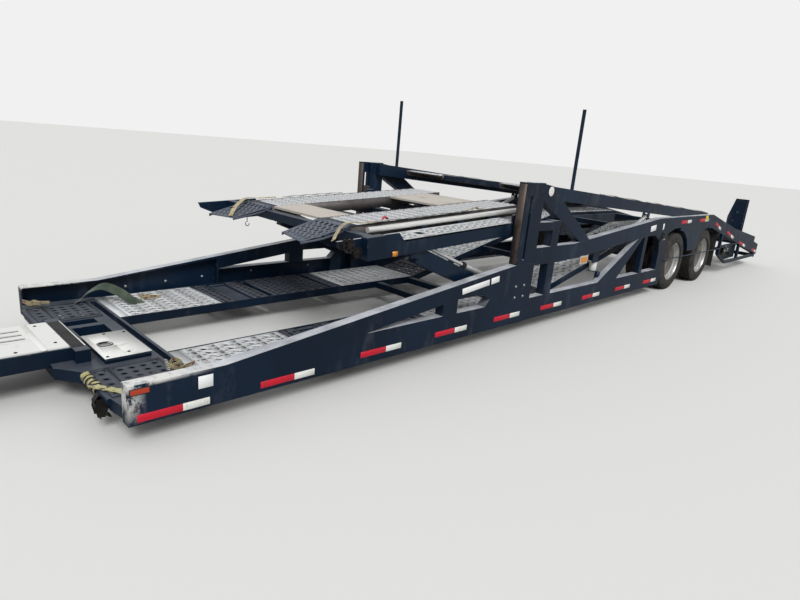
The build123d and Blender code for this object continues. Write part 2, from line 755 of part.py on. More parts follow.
# Rear upper deck, laid at its slope from the hinge pins
rear_lay = Location((at(deck_hinge_station), 0, deck_hinge_height), (0, -rear_deck_fall, 0))
rear_rail_inner = rear_rail_outer - rear_rail_width
rear_rail_low = rear_rail_top - rear_rail_depth
rear_fall = radians(rear_deck_fall)
head_back = cylinder_head_station - deck_hinge_station
head_drop = cylinder_head_height - deck_hinge_height
head_u = -(head_back * cos(rear_fall) - head_drop * sin(rear_fall))
head_w = head_back * sin(rear_fall) + head_drop * cos(rear_fall)
lug_radius = 40
lug_plate = 7
head_pin_radius = 20

with BuildPart() as rear_rail:
    with BuildSketch(side_plane(rear_rail_outer)):
        Polygon((rear_deck_front, rear_rail_top), (rear_deck_front, rear_rail_low),
                (rear_deck_rear, rear_rail_low), (rear_deck_rear, rear_rail_top), align=None)
    extrude(amount=rear_rail_width)
    with Locations(Location((0, (rear_rail_inner + half_width) / 2, 0), (90, 0, 0))):
        Cylinder(hinge_pin_radius, half_width - rear_rail_inner)
    for y in (rear_rail_outer, rear_rail_inner + lug_plate):
        with BuildSketch(side_plane(y)):
            Polygon((head_u - lug_radius, head_w - lug_radius), (head_u - lug_radius, 0),
                    (head_u + lug_radius, 0), (head_u + lug_radius, head_w - lug_radius), align=None)
        extrude(amount=lug_plate)
    with Locations(Location((head_u, (rear_rail_inner + rear_rail_outer) / 2, head_w), (90, 0, 0))):
        Cylinder(head_pin_radius, rear_rail_width)
save_pair(rear_rail.part.moved(rear_lay), "rear_deck_rails")

rear_track_top = rear_rail_top - rear_track_drop
rear_track_inner = 450
rear_track_depth = 70


def deck_track(front, rear, top, depth, y_inner, y_outer):
    """A level wheel track in a deck's own frame, a plate with a beam under each edge."""
    with BuildPart() as piece:
        with Locations(((front + rear) / 2, (y_inner + y_outer) / 2, top - depth / 2)):
            Box(front - rear, y_outer - y_inner, depth)
        with Locations(((front + rear) / 2, (y_inner + y_outer) / 2, top - track_plate - depth / 2)):
            Box(front - rear, y_outer - y_inner - 2 * track_beam, depth, mode=Mode.SUBTRACT)
    return piece.part


rear_track = deck_track(rear_track_front, rear_deck_rear, rear_track_top, rear_track_depth, rear_track_inner,
                        rear_rail_inner)
save_pair(rear_track.moved(rear_lay), "rear_deck_tracks")

cross_tube = 60
rear_cross_count = 6
with BuildPart() as rear_cross:
    for index in range(rear_cross_count):
        u = rear_track_front - 60 + (rear_deck_rear - rear_track_front + 120) * index / (rear_cross_count - 1)
        with Locations((u, 0, rear_track_top - track_plate - cross_tube / 2)):
            Box(cross_tube, 2 * rear_track_inner, cross_tube)
save(rear_cross.part.moved(rear_lay), "rear_deck_cross_members")

# Guide poles, one on each rail: station, side
pole_table = ((5010, 1), (4385, -1))
pole_y = (rear_rail_inner + rear_rail_outer) / 2
rail_solid = rear_rail.part.moved(rear_lay)
poles = []
for station, side in pole_table:
    with BuildPart() as pole:
        with Locations((at(station), pole_y, (deck_hinge_height - rear_rail_top + pole_top) / 2)):
            Cylinder(pole_radius, pole_top - deck_hinge_height + rear_rail_top)
        add(rail_solid, mode=Mode.SUBTRACT)
    tall = pole.part.solids().sort_by(Axis.Z)[-1]
    poles.append(tall if side > 0 else mirror(tall, about=Plane.XZ))
save(Compound(children=poles), "guide_poles")


def link_plane(foot_station, foot_height, head_station, head_height, y):
    """A plane at a link's foot pin whose normal points at its head pin."""
    reach = (foot_station - head_station, 0, head_height - foot_height)
    return Plane(origin=(at(foot_station), y, foot_height), x_dir=(0, 1, 0), z_dir=reach)


# Rear deck cylinders: barrels on pins in the frame, rods that reach the deck's lugs
cylinder_y = rear_rail_outer - rear_rail_width / 2
cylinder_plane = link_plane(cylinder_foot_station, cylinder_foot_height, cylinder_head_station,
                            cylinder_head_height, cylinder_y)
cylinder_length = hypot(cylinder_head_station - cylinder_foot_station,
                        cylinder_head_height - cylinder_foot_height)
foot_eye = Location((at(cylinder_foot_station), cylinder_y, cylinder_foot_height), (90, 0, 0))
head_eye = Location((at(cylinder_head_station), cylinder_y, cylinder_head_height), (90, 0, 0))
foot_pin_radius = 25
with BuildPart() as barrel:
    with Locations(foot_eye):
        Cylinder(barrel_radius + 6, eye_width)
    with BuildSketch(cylinder_plane.offset(foot_pin_radius + 5)):
        Circle(barrel_radius)
    extrude(amount=barrel_length - foot_pin_radius - 5)
    with BuildSketch(cylinder_plane.offset(barrel_radius + 20)):
        Circle(rod_radius + rod_gap)
    extrude(amount=barrel_length, mode=Mode.SUBTRACT)
    with Locations(foot_eye):
        Cylinder(foot_pin_radius + pin_clearance, 2 * eye_width, mode=Mode.SUBTRACT)
save_sides(barrel.part, "deck_barrel")

with BuildPart() as rod:
    with BuildSketch(cylinder_plane.offset(2 * barrel_radius)):
        Circle(rod_radius)
    extrude(amount=cylinder_length - 2 * barrel_radius)
    with Locations(head_eye):
        Cylinder(head_pin_radius + head_play + eye_wall, eye_width)
        Cylinder(head_pin_radius + head_play, 2 * eye_width, mode=Mode.SUBTRACT)
save_sides(rod.part, "deck_rod")

foot_half = 75
with BuildPart() as foot_bracket:
    with BuildSketch(side_plane(frame_inner)):
        outline_face([(cylinder_foot_station - foot_half, cylinder_foot_height - foot_half + 15),
                      (cylinder_foot_station - foot_half, chord_low_top + plate),
                      (cylinder_foot_station + foot_half, chord_low_top + plate),
                      (cylinder_foot_station + foot_half, cylinder_foot_height - foot_half + 15)])
    extrude(amount=plate)
    with Locations(Location((at(cylinder_foot_station), (frame_inner + cylinder_y - 30) / 2,
                             cylinder_foot_height), (90, 0, 0))):
        Cylinder(foot_pin_radius, frame_inner - cylinder_y + 30)

# Front upper deck, laid at its slope from its rear pins
front_lay = Location((at(front_hinge_station), 0, front_hinge_height), (0, front_deck_fall, 0))
walkway_inner = walkway_outer - walkway_width
walkway_under = walkway_top - track_plate
web_thickness = 20
web_lip = 30  # top of the web ahead of the walkway, flush with the front tube
web_tip = 2330  # the web's front end rises to a point
web_low = walkway_under - deck_web_depth
tie_tube = 80
tube_top = front_track_top - front_track_depth
front_tube = front_track_front + tie_tube / 2
tube_places = (1080, 560, 60)  # centres of the cross tubes, forward of the pins
front_fall = radians(front_deck_fall)
arm_reach = front_hinge_station - arm_head_station
arm_drop = arm_head_height - front_hinge_height
arm_u = arm_reach * cos(front_fall) - arm_drop * sin(front_fall)
arm_w = arm_reach * sin(front_fall) + arm_drop * cos(front_fall)
sleeve_half_width = arm_width / 2 + sleeve_gap + sleeve_wall
saddle_width = 36
saddle_rise = 41  # under the edge tubes, which lie beside the tracks
edge_tube_y = (front_track_outer + walkway_inner) / 2
lug_thickness = 10
lug_half = 45
pin_overhang = 90
ear_top = 40  # of the web round its rear pin
ear_front = 45
with BuildPart() as deck_web:
    with BuildSketch(side_plane(walkway_outer)):
        Polygon((walkway_rear, ear_top), (ear_front, ear_top), (ear_front, walkway_under),
                (walkway_front + 1, walkway_under), (walkway_front + 60, web_lip), (web_tip, web_lip),
                (web_tip - 25, web_lip - 56), (web_tip - 240, web_low + 42), (web_tip - 480, web_low),
                (walkway_rear, web_low), align=None)
    extrude(amount=web_thickness)
    with Locations(Location((0, walkway_outer + pin_overhang / 2 - 5, 0), (90, 0, 0))):
        Cylinder(front_pin_radius, pin_overhang + 10)
    for y in (arm_y + sleeve_half_width + 2 + lug_thickness, arm_y - sleeve_half_width - 2):
        with BuildSketch(side_plane(y)):
            Polygon((arm_u - lug_half, arm_w - lug_half), (arm_u - lug_half, walkway_under),
                    (arm_u + lug_half, walkway_under), (arm_u + lug_half, arm_w - lug_half), align=None)
        extrude(amount=lug_thickness)
    with Locations(Location((arm_u, arm_y, arm_w), (90, 0, 0))):
        Cylinder(arm_pin_radius, 2 * (sleeve_half_width + 2 + lug_thickness))
save_pair(deck_web.part.moved(front_lay), "front_deck_webs")

tube_half = walkway_outer - web_thickness
with BuildPart() as deck_tubes:
    for u in tube_places:
        with Locations((u, tube_half / 2, tube_top - tie_tube / 2)):
            Box(tie_tube, tube_half, tie_tube)
        with Locations((u, walkway_inner + saddle_width / 2, (walkway_under + tube_top) / 2)):
            Box(tie_tube, saddle_width, walkway_under - tube_top)
        with Locations((u, edge_tube_y, tube_top + saddle_rise / 2)):
            Box(tie_tube, saddle_width, saddle_rise)
    with Locations((front_tube, tube_half / 2, web_lip - tie_tube / 2)):
        Box(tie_tube, tube_half, tie_tube)
    mirror(about=Plane.XZ)
save(deck_tubes.part.moved(front_lay), "front_deck_cross_members")

with BuildPart() as walkway:
    with Locations(((walkway_front + walkway_rear) / 2, (walkway_outer + walkway_inner) / 2,
                    walkway_top - track_plate / 2)):
        Box(walkway_front - walkway_rear, walkway_width, track_plate)
    with Locations(((ear_front + walkway_rear) / 2, walkway_outer, walkway_top)):
        Box(ear_front - walkway_rear, 2 * web_thickness, 2 * track_plate, mode=Mode.SUBTRACT)
save_pair(walkway.part.moved(front_lay), "front_walkways")

front_track = deck_track(front_track_front, front_track_rear, front_track_top, front_track_depth,
                         front_track_inner, front_track_outer)
save_pair(front_track.moved(front_lay), "front_deck_tracks")

edge_tube_rise = tube_top + saddle_rise + edge_tube_radius
with BuildPart() as edge_tube:
    with Locations(Location(((edge_tube_front + front_track_rear) / 2, edge_tube_y, edge_tube_rise),
                            (0, 90, 0))):
        Cylinder(edge_tube_radius, edge_tube_front - front_track_rear)
save_pair(edge_tube.part.moved(front_lay), "edge_tubes")

panel_table = ((1910, 1560), (340, -300))  # front and rear edges of the covers between the tracks
panel_thickness = 20
panel_drop = 6
with BuildPart() as panels:
    for front, rear in panel_table:
        with Locations(((front + rear) / 2, 0, front_track_top - panel_drop - panel_thickness / 2)):
            Box(front - rear, 2 * front_track_inner, panel_thickness)
save(panels.part.moved(front_lay), "front_deck_panels")

# Plates ahead of the tracks: down over the front tube, then a flap whose corners are cut back
flap_reach = 390
flap_drop = 25
flap_profile = [(front_track_front, front_track_top), (front_track_front + tie_tube, web_lip + track_plate),
                (web_tip - 130, web_lip - flap_drop), (front_track_front + tie_tube + flap_reach, -flap_drop)]
with BuildPart() as nose_flap:
    with BuildSketch(side_plane(front_track_outer)):
        Polygon(*flap_profile, *[(u, w - track_plate) for u, w in reversed(flap_profile)], align=None)
    extrude(amount=front_track_outer - front_track_inner)
    with BuildSketch(Plane.XY.offset(front_track_top)):
        Polygon((front_track_front, front_track_inner), (front_track_front, front_track_outer),
                (front_tube + 260, front_track_outer), (front_tube + 430, front_track_outer - 60),
                (front_tube + 370, front_track_inner + 30), (front_tube + 130, front_track_inner), align=None)
    extrude(amount=2 * front_track_depth, both=True, mode=Mode.INTERSECT)
save_pair(nose_flap.part.moved(front_lay), "front_deck_flaps")

# On the left web: the reel that winds the straps, and a box behind it
reel_radius = 62
reel_u, reel_w = 2253, 0
with BuildPart() as reel:
    for y, radius, height in ((walkway_outer, 30, 24), (walkway_outer + 24, reel_radius, 12),
                              (walkway_outer + 36, 22, 24)):
        with Locations(Location((reel_u, y + height / 2, reel_w), (90, 0, 0))):
            Cylinder(radius, height)
save(reel.part.moved(front_lay), "strap_reel")

box_front, box_rear = 2095, 1892
box_low, box_high = -140, 45
box_depth = 80
with BuildPart() as deck_box:
    with Locations(((box_front + box_rear) / 2, walkway_outer + box_depth / 2, (box_low + box_high) / 2)):
        Box(box_front - box_rear, box_depth, box_high - box_low)
    fillet(deck_box.edges().filter_by(Axis.Y), 12)
save(deck_box.part.moved(front_lay), "front_deck_box")

with BuildPart() as slide_block:
    with Locations((at(front_hinge_station), frame_inner + 36, front_hinge_height)):
        Box(guide_width - 40.6, 67, 160)
    with Locations(Location((at(front_hinge_station), frame_inner, front_hinge_height), (90, 0, 0))):
        Cylinder(front_pin_radius + pin_clearance, 4 * frame_depth, mode=Mode.SUBTRACT)
save_pair(slide_block.part, "slide_blocks")

# Lift arms: the arm turns on the frame's pin and its sleeve reaches the lugs under the deck
arm_plane = link_plane(arm_foot_station, arm_foot_height, arm_head_station, arm_head_height, arm_y)
arm_span = hypot(arm_foot_station - arm_head_station, arm_head_height - arm_foot_height)
arm_foot = Location((at(arm_foot_station), arm_y, arm_foot_height), (90, 0, 0))
arm_head = Location((at(arm_head_station), arm_y, arm_head_height), (90, 0, 0))
arm_eye_radius = 45
ram_radius = 30
ram_rod_radius = 16
ram_offset = arm_depth / 2 + sleeve_gap + sleeve_wall + ram_radius + 6
ram_start = 80
ram_end = 640
ram_head = 1290
rod_start = 240
# On the arm's plane, local x runs along y and local y runs up and back, square to the arm
side_up = 1 if arm_plane.y_dir.Z > 0 else -1
ram_shift = side_up * ram_offset
with BuildPart() as lift_arm:
    with Locations(arm_foot):
        Cylinder(arm_eye_radius, arm_width)
    with BuildSketch(arm_plane):
        Rectangle(arm_width, 2 * arm_eye_radius - 10)
    extrude(amount=120)
    with BuildSketch(arm_plane.offset(100)):
        Rectangle(arm_width, arm_depth)
    extrude(amount=arm_length - 100)
    with BuildSketch(arm_plane.offset(ram_start)):
        with Locations((0, ram_shift)):
            Circle(ram_radius)
    extrude(amount=ram_end - ram_start)
    with BuildSketch(arm_plane.offset(110)):
        with Locations((0, ram_shift / 2)):
            Rectangle(30, ram_offset)
    extrude(amount=90)
    with BuildSketch(arm_plane.offset(ram_start + 30)):
        with Locations((0, ram_shift)):
            Circle(ram_rod_radius + rod_gap)
    extrude(amount=ram_end, mode=Mode.SUBTRACT)
    with Locations(arm_foot):
        Cylinder(arm_pin_radius + pin_clearance, 2 * arm_width, mode=Mode.SUBTRACT)
save_sides(lift_arm.part, "lift_arm")

sleeve_width = arm_width + 2 * (sleeve_gap + sleeve_wall)
sleeve_depth = arm_depth + 2 * (sleeve_gap + sleeve_wall)
sleeve_end = arm_span - 70
with BuildPart() as sleeve:
    with BuildSketch(arm_plane.offset(sleeve_start)):
        Rectangle(sleeve_width, sleeve_depth)
    extrude(amount=sleeve_end - sleeve_start)
    with BuildSketch(arm_plane.offset(sleeve_end - 1)):
        Rectangle(sleeve_width, 80)
    extrude(amount=71)
    with Locations(arm_head):
        Cylinder(arm_eye_radius, sleeve_width)
    with BuildSketch(arm_plane.offset(sleeve_start)):
        Rectangle(arm_width + 2 * sleeve_gap, arm_depth + 2 * sleeve_gap)
    extrude(amount=sleeve_end - 40 - sleeve_start, mode=Mode.SUBTRACT)
    with BuildSketch(arm_plane.offset(ram_head - 60)):
        with Locations((0, ram_shift - side_up * 20)):
            Rectangle(30, 2 * ram_radius)
    extrude(amount=80)
    with BuildSketch(arm_plane.offset(rod_start)):
        with Locations((0, ram_shift)):
            Circle(ram_rod_radius)
    extrude(amount=ram_head - rod_start)
    with Locations(arm_head):
        Cylinder(arm_pin_radius + head_play, 2 * sleeve_width, mode=Mode.SUBTRACT)
save_sides(sleeve.part, "lift_sleeve")

bracket_half = 65
bracket_front = arm_foot_station - bracket_half
bracket_rear = arm_foot_station + bracket_half
with BuildPart() as arm_bracket:
    with BuildSketch(side_plane(frame_inner + plate)):
        outline_face([(bracket_front, rail_bottom + plate), (bracket_front, nose_edge(bracket_front) - plate),
                      (bracket_rear, nose_edge(bracket_front) - plate), (bracket_rear, rail_bottom + plate)])
    extrude(amount=plate)
    with Locations(Location((at(arm_foot_station), (frame_inner + arm_y - arm_width / 2) / 2,
                             arm_foot_height), (90, 0, 0))):
        Cylinder(arm_pin_radius, frame_inner - arm_y + arm_width / 2)
brackets = [piece for bracket in (arm_bracket.part, foot_bracket.part)
            for piece in (bracket, mirror(bracket, about=Plane.XZ))]
save(Compound(children=brackets), "pin_brackets")

# Flaps on the rear ramp, the left one standing up and the right one folded back
track_fall = (over_wheel_top - ramp_track_end) / ramp_length
flap_seat = over_wheel_top - (flap_station - chord_end) * track_fall
flap_lift = 25
flap_axis = Location((at(flap_station), 0, flap_seat + flap_lift))
with BuildPart() as flap:
    with BuildSketch(Plane.YZ.offset(-flap_thickness / 2)):
        Polygon((flap_inner, 0), (flap_inner, 0.52 * flap_height), (flap_inner + 90, flap_height),
                (flap_outer, flap_height), (flap_outer, 0), align=None)
    extrude(amount=flap_thickness)
    with Locations(Location((0, (flap_inner + flap_outer) / 2, 0), (90, 0, 0))):
        Cylinder(flap_knuckle, flap_outer - flap_inner)
        Cylinder(flap_pin_radius + pin_clearance, 2 * flap_outer, mode=Mode.SUBTRACT)
fold_back = degrees(atan2(over_wheel_top - ramp_track_end, ramp_length)) + 90
save(flap.part.moved(flap_axis), "rear_flap_left")
folded = mirror(flap.part, about=Plane.XZ).moved(Location((0, 0, 0), (0, -fold_back, 0)))
save(folded.moved(flap_axis), "rear_flap_right")

lug_seat = 4.2  # into the plate's thickness, then cut off at its face
with BuildPart() as flap_hinge:
    for y in (flap_inner - 12, flap_outer + 12):
        with Locations((at(flap_station), y, flap_seat + (flap_lift + flap_knuckle - lug_seat) / 2)):
            Box(2 * flap_knuckle, 12, flap_lift + flap_knuckle + lug_seat)
    with Locations(Location((at(flap_station), (flap_inner + flap_outer) / 2, flap_seat + flap_lift),
                            (90, 0, 0))):
        Cylinder(flap_pin_radius, flap_outer - flap_inner + 30)
    add(ramp_track, mode=Mode.SUBTRACT)
save_pair(flap_hinge.part, "flap_hinges")
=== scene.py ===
"""Dresses the car transporter trailer: paint, punched wheel tracks, wheels, markings, lashings and stage."""

import json
import math

import bmesh
import bpy
import numpy as np
from mathutils import Matrix, Vector


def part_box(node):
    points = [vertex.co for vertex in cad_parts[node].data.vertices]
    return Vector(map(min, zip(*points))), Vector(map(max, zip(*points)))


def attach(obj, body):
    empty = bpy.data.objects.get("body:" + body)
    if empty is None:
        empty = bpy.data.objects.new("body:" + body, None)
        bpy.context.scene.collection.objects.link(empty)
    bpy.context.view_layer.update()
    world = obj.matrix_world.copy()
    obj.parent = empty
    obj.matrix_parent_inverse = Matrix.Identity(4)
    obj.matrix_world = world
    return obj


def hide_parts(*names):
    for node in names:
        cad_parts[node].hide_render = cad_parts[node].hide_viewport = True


bl_info = {
    "name": "Car Transporter Trailer",
    "version": (1, 0, 0),
    "blender": (4, 5, 0),
    "location": "View3D > Sidebar > Trailer",
    "description": "Finishes, fittings and stage for a two-deck car transporter trailer",
    "category": "Object",
}

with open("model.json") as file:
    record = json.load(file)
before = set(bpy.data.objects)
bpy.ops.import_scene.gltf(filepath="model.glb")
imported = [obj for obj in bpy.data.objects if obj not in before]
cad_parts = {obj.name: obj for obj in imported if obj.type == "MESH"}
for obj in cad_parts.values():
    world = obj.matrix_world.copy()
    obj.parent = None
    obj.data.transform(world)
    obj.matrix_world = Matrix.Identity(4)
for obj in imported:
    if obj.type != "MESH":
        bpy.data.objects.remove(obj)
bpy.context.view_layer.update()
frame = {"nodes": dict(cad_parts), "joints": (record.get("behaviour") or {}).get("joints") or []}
NODES = frame["nodes"]
JOINTS = {joint["name"]: joint for joint in frame["joints"]}
SIDES = (1, -1)
HANDS = (("left", 1), ("right", -1))

# The trailer's own measures, in metres. A station is a distance back from the front corners.
FRONT_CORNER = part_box("front_sides")[1].x
FRAME_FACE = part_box("front_sides")[1].y
RAIL_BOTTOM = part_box("front_sides")[0].z
BELLY_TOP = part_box("belly_tracks")[1].z
LEVEL_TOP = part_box("wheel_tracks")[1].z
TRACK_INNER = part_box("cross_members")[1].y
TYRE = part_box("tyres_front_left")
TYRE_RADIUS = (TYRE[1].z - TYRE[0].z) / 2
AXLES = [JOINTS[f"wheels_{end}_left_spin"]["pos_m"][0] for end in ("front", "rear")]
# Each upper deck's hinge, and the angle at which it slopes down towards the front
DECKS = {"rear_deck": (Vector(JOINTS["rear_deck_lift"]["pos_m"]), math.radians(-4.296)),
         "front_deck": (Vector(JOINTS["front_deck_lift"]["pos_m"]), math.radians(3.4))}
STAND_OFF = 0.0008  # tape stands off the paint by this much, labels by twice as much


def at(station):
    """x of a station."""
    return FRONT_CORNER - station


def spot_on(station, y, height):
    """A point at a station."""
    return (at(station), y, height)


# Mesh building


def quads(rows, columns, close_rows=False, close_columns=False):
    """Four-cornered faces of a grid of rows times columns points; either direction may close on itself."""
    i, j = np.meshgrid(np.arange(rows if close_rows else rows - 1),
                       np.arange(columns if close_columns else columns - 1), indexing="ij")
    below, beside = (i + 1) % rows, (j + 1) % columns
    faces = [i * columns + j, i * columns + beside, below * columns + beside, below * columns + j]
    return np.stack(faces, -1).reshape(-1, 4)


def piece(name, shells, finish, smooth=None, body="chassis", stands_for=None):
    """One object from shells, each an array of points and arrays of faces. Doubles merge, normals point out.

    smooth is the angle in degrees under which neighbouring faces shade as one surface, and stands_for names
    the node that the piece replaces.
    """
    points, corners, sizes, start = [], [], [], 0
    for vertices, *polygons in shells:
        vertices = np.asarray(vertices, float).reshape(-1, 3)
        points.append(vertices)
        for polygon in polygons:
            corners.append((polygon + start).ravel())
            sizes.append(np.full(len(polygon), polygon.shape[1]))
        start += len(vertices)
    points, corners, sizes = np.concatenate(points), np.concatenate(corners), np.concatenate(sizes)
    mesh = bpy.data.meshes.new(name)
    mesh.vertices.add(len(points))
    mesh.vertices.foreach_set("co", points.ravel())
    mesh.loops.add(len(corners))
    mesh.loops.foreach_set("vertex_index", corners.astype(np.int32))
    mesh.polygons.add(len(sizes))
    mesh.polygons.foreach_set("loop_start", (np.cumsum(sizes) - sizes).astype(np.int32))
    mesh.update(calc_edges=True)
    welded = bmesh.new()
    welded.from_mesh(mesh)
    bmesh.ops.remove_doubles(welded, verts=welded.verts, dist=2e-5)
    bmesh.ops.recalc_face_normals(welded, faces=welded.faces)
    welded.to_mesh(mesh)
    welded.free()
    if smooth:
        mesh.shade_smooth()
        mesh.set_sharp_from_angle(angle=math.radians(smooth))
    mesh.materials.append(FINISH[finish])
    made = bpy.data.objects.new(name, mesh)
    bpy.context.scene.collection.objects.link(made)
    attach(made, body)
    if stands_for:
        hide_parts(stands_for)


def unit(rows):
    """Each row at length one."""
    return rows / np.linalg.norm(rows, axis=-1, keepdims=True)


def round_outline(count, blunt=1.0):
    """Points round a unit circle. Cosines and sines are raised to the power blunt: a low one squares it."""
    angle = np.arange(count) * 2 * math.pi / count
    circle = np.column_stack([np.cos(angle), np.sin(angle)])
    return np.sign(circle) * np.abs(circle) ** blunt


def skin(rings, ends=True):
    """A skin over a grid of rings: faces from ring to ring, and the first and last ring as end faces."""
    rows, columns = rings.shape[:2]
    shell = [rings, quads(rows, columns, close_columns=True)]
    if ends:
        shell.append(np.stack([np.arange(columns)[::-1], np.arange(columns) + (rows - 1) * columns]))
    return shell


def inset(outline, amount):
    """The outline moved inwards by amount: each corner along the mean of its two edges' normals, mitred."""
    ahead = unit(np.roll(outline, -1, 0) - outline)
    normal = np.stack([-ahead[:, 1], ahead[:, 0]], -1)
    mean = normal + np.roll(normal, 1, 0)
    least = 0.4  # keeps the mitre of a sharp corner short
    x, y = outline.T
    turn = np.sign((x * np.roll(y, -1) - np.roll(x, -1) * y).sum())
    return outline + turn * amount * mean * 2 / np.maximum((mean ** 2).sum(1, keepdims=True), least)


def prism(outline, low, high, place, bevel=0.002):
    """A plate or bar: the outline (a, b) raised from low to high (c), its rims broken by a small bevel.

    The rings are at low, low + bevel, high - bevel and high, and the end rings are inset by the bevel.
    place turns arrays a, b, c into points.
    """
    outline = np.asarray(outline, float)
    small = inset(outline, bevel)
    rings = ((small, low), (outline, low + bevel), (outline, high - bevel), (small, high))
    flat = np.concatenate([np.insert(ring, 2, level, axis=1) for ring, level in rings])
    return skin(place(*flat.T).reshape(4, -1, 3))


def block(x_span, y_span, z_span, bevel=0.003, side=1):
    """An upright block with broken edges; side -1 mirrors it to the far side."""
    (x0, x1), (y0, y1) = x_span, np.multiply(y_span, side)
    outline = [(x0, y0), (x1, y0), (x1, y1), (x0, y1)]
    return prism(outline, *z_span, lambda a, b, c: np.column_stack([a, b, c]), bevel)


def flat_on_side(y_face, side):
    """Places an outline of (x, z) flat against a side face; c grows outwards."""
    return lambda a, b, c: np.column_stack([a, side * (y_face + c), b])


def lathe(profile, centre, axis="y", count=48, side=1):
    """A surface of revolution: point = centre + axis * along + radius * (cos t, sin t) across.

    The profile (radius, along) is closed on itself, so the shell is closed too.
    """
    radius, along = np.asarray(profile, float).T
    first, second = (np.outer(turn, radius) for turn in round_outline(count).T)
    along = np.broadcast_to(along * side, first.shape)
    order = {"y": (first, along, second), "x": (along, first, second), "z": (first, second, along)}[axis]
    return np.stack(order, -1) + np.asarray(centre, float), quads(count, len(radius), True, True)


def tube(path, radius, sides=10, ends=True):
    """A round section carried along a path: point = path(t) + radius (cos a N + sin a B).

    N and B are carried along without twist, by projecting the last N square to each new direction.
    """
    path = np.asarray(path, float)
    ahead = unit(np.gradient(path, axis=0))
    normal = np.zeros_like(path)
    last = np.array([0, 0, 1.0] if abs(ahead[0][2]) < 0.9 else [1.0, 0, 0])
    for index, direction in enumerate(ahead):
        last = normal[index] = unit(last - direction * (last @ direction))
    across = np.cross(ahead, normal)
    turn = round_outline(sides)
    rings = turn[:, :1] * normal[:, None] + turn[:, 1:] * across[:, None]
    return skin(path[:, None] + radius * rings, ends)


def bar(place, stations, ring):
    """A section, a ring of (v, w), carried along u through the stations."""
    v, w = np.tile(ring, (len(stations), 1)).T
    return skin(place(np.repeat(stations, len(ring)), v, w).reshape(len(stations), -1, 3))


def beam(place, stations, v_span, w_span, corner=0.004):
    """A bar whose rectangular section has rounded corners, three points to each."""
    (v0, v1), (w0, w1) = v_span, w_span
    ring = []
    for v, w, start in ((v1 - corner, w1 - corner, 0), (v0 + corner, w1 - corner, 90),
                        (v0 + corner, w0 + corner, 180), (v1 - corner, w0 + corner, 270)):
        angle = np.radians(start + np.array([0, 45, 90]))
        ring.append(np.column_stack([v + corner * np.cos(angle), w + corner * np.sin(angle)]))
    return bar(place, stations, np.concatenate(ring))


def strip(place, u_span, v_span, w_span, count=1):
    """A flat bar, cut along u into count lengths so that it can bend with the mapping."""
    (v0, v1), (w0, w1) = v_span, w_span
    return bar(place, np.linspace(*u_span, count + 1), [(v0, w0), (v1, w0), (v1, w1), (v0, w1)])


def punched(place, u_span, v_span, pitch, hole, lip, thick, sides=8, skew=0.0, teeth=0.0, blunt=1.0,
            shift=0.0):
    """A plate with rows of punched holes, cell by cell.

    Each cell has four rings of points: its square rim, the hole's rim raised by the lip, the hole's foot and
    the square rim underneath. A rim point is (cos a, sin a) / max(|cos a|, |sin a|) times half the cell.
    hole is (along, across), and blunt squares its ellipse. skew leans it, teeth drops every second rim
    point by that share of the lip, and shift moves every second row sideways by that share of a cell.
    """
    spans = np.array([u_span, v_span])
    counts = np.maximum(1, np.round((spans[:, 1] - spans[:, 0]) / pitch)).astype(int)
    step = (spans[:, 1] - spans[:, 0]) / counts
    i, j = (index.ravel() for index in np.meshgrid(*map(np.arange, counts), indexing="ij"))
    centre = (spans[:, 0] + (np.stack([i, j], -1) + 0.5) * step)[:, None]
    circle = round_outline(sides)
    square = circle / np.abs(circle).max(1, keepdims=True) * step / 2
    ring = round_outline(sides, blunt) * np.asarray(hole) / 2
    ring[:, 0] += ring[:, 1] * skew
    aside = np.stack([np.zeros(len(i)), (i % 2 - 0.5) * shift * step[1]], -1)[:, None]
    rim, mouth = centre + square, centre + ring + aside
    crest = lip * (1 - teeth * (np.arange(sides) % 2))
    levels = [(rim, 0.0), (mouth, crest), (mouth, -thick), (rim, -thick)]
    cells = np.stack([np.dstack([ring_at, np.broadcast_to(level, ring_at.shape[:2])])
                      for ring_at, level in levels], 1)
    starts = np.arange(len(cells))[:, None, None] * 4 * sides
    return place(*cells.reshape(-1, 3).T), (quads(4, sides, close_columns=True) + starts).reshape(-1, 4)


def border(place, outer, inner, w_span):
    """Four strips between an outer and an inner rectangle, each ((u, u), (v, v))."""
    ((u0, u1), (v0, v1)), ((a0, a1), (b0, b1)) = outer, inner
    return [strip(place, along, across, w_span) for along, across in
            (((u0, a0), (v0, v1)), ((a1, u1), (v0, v1)), ((a0, a1), (v0, b0)), ((a0, a1), (b1, v1)))]


def framed(place, u_span, v_span, rim, thick, *pattern, **more):
    """A punched plate with plain borders rim wide, along and across. The pattern is what punched takes."""
    (u0, u1), (v0, v1) = u_span, v_span
    along, across = np.broadcast_to(rim, 2)
    inner = (u0 + along, u1 - along), (v0 + across, v1 - across)
    return border(place, (u_span, v_span), inner, (-thick, 0.0)) + [punched(place, *inner, *pattern, **more)]


def slope_place(front, rear, side):
    """Maps u back along a wheel track, v across and w up, between two points (x, z) on its top.

    x = front - u, y = side v, z = the straight line between the two points at x, plus w.
    """
    fall = (rear[1] - front[1]) / (front[0] - rear[0])
    return lambda u, v, w: np.column_stack([front[0] - u, side * v, front[1] + fall * u + w])


def flat_place(height, side=1):
    """Maps u back from the front corners, v across and w up from a level."""
    return slope_place((FRONT_CORNER, height), (0.0, height), side)


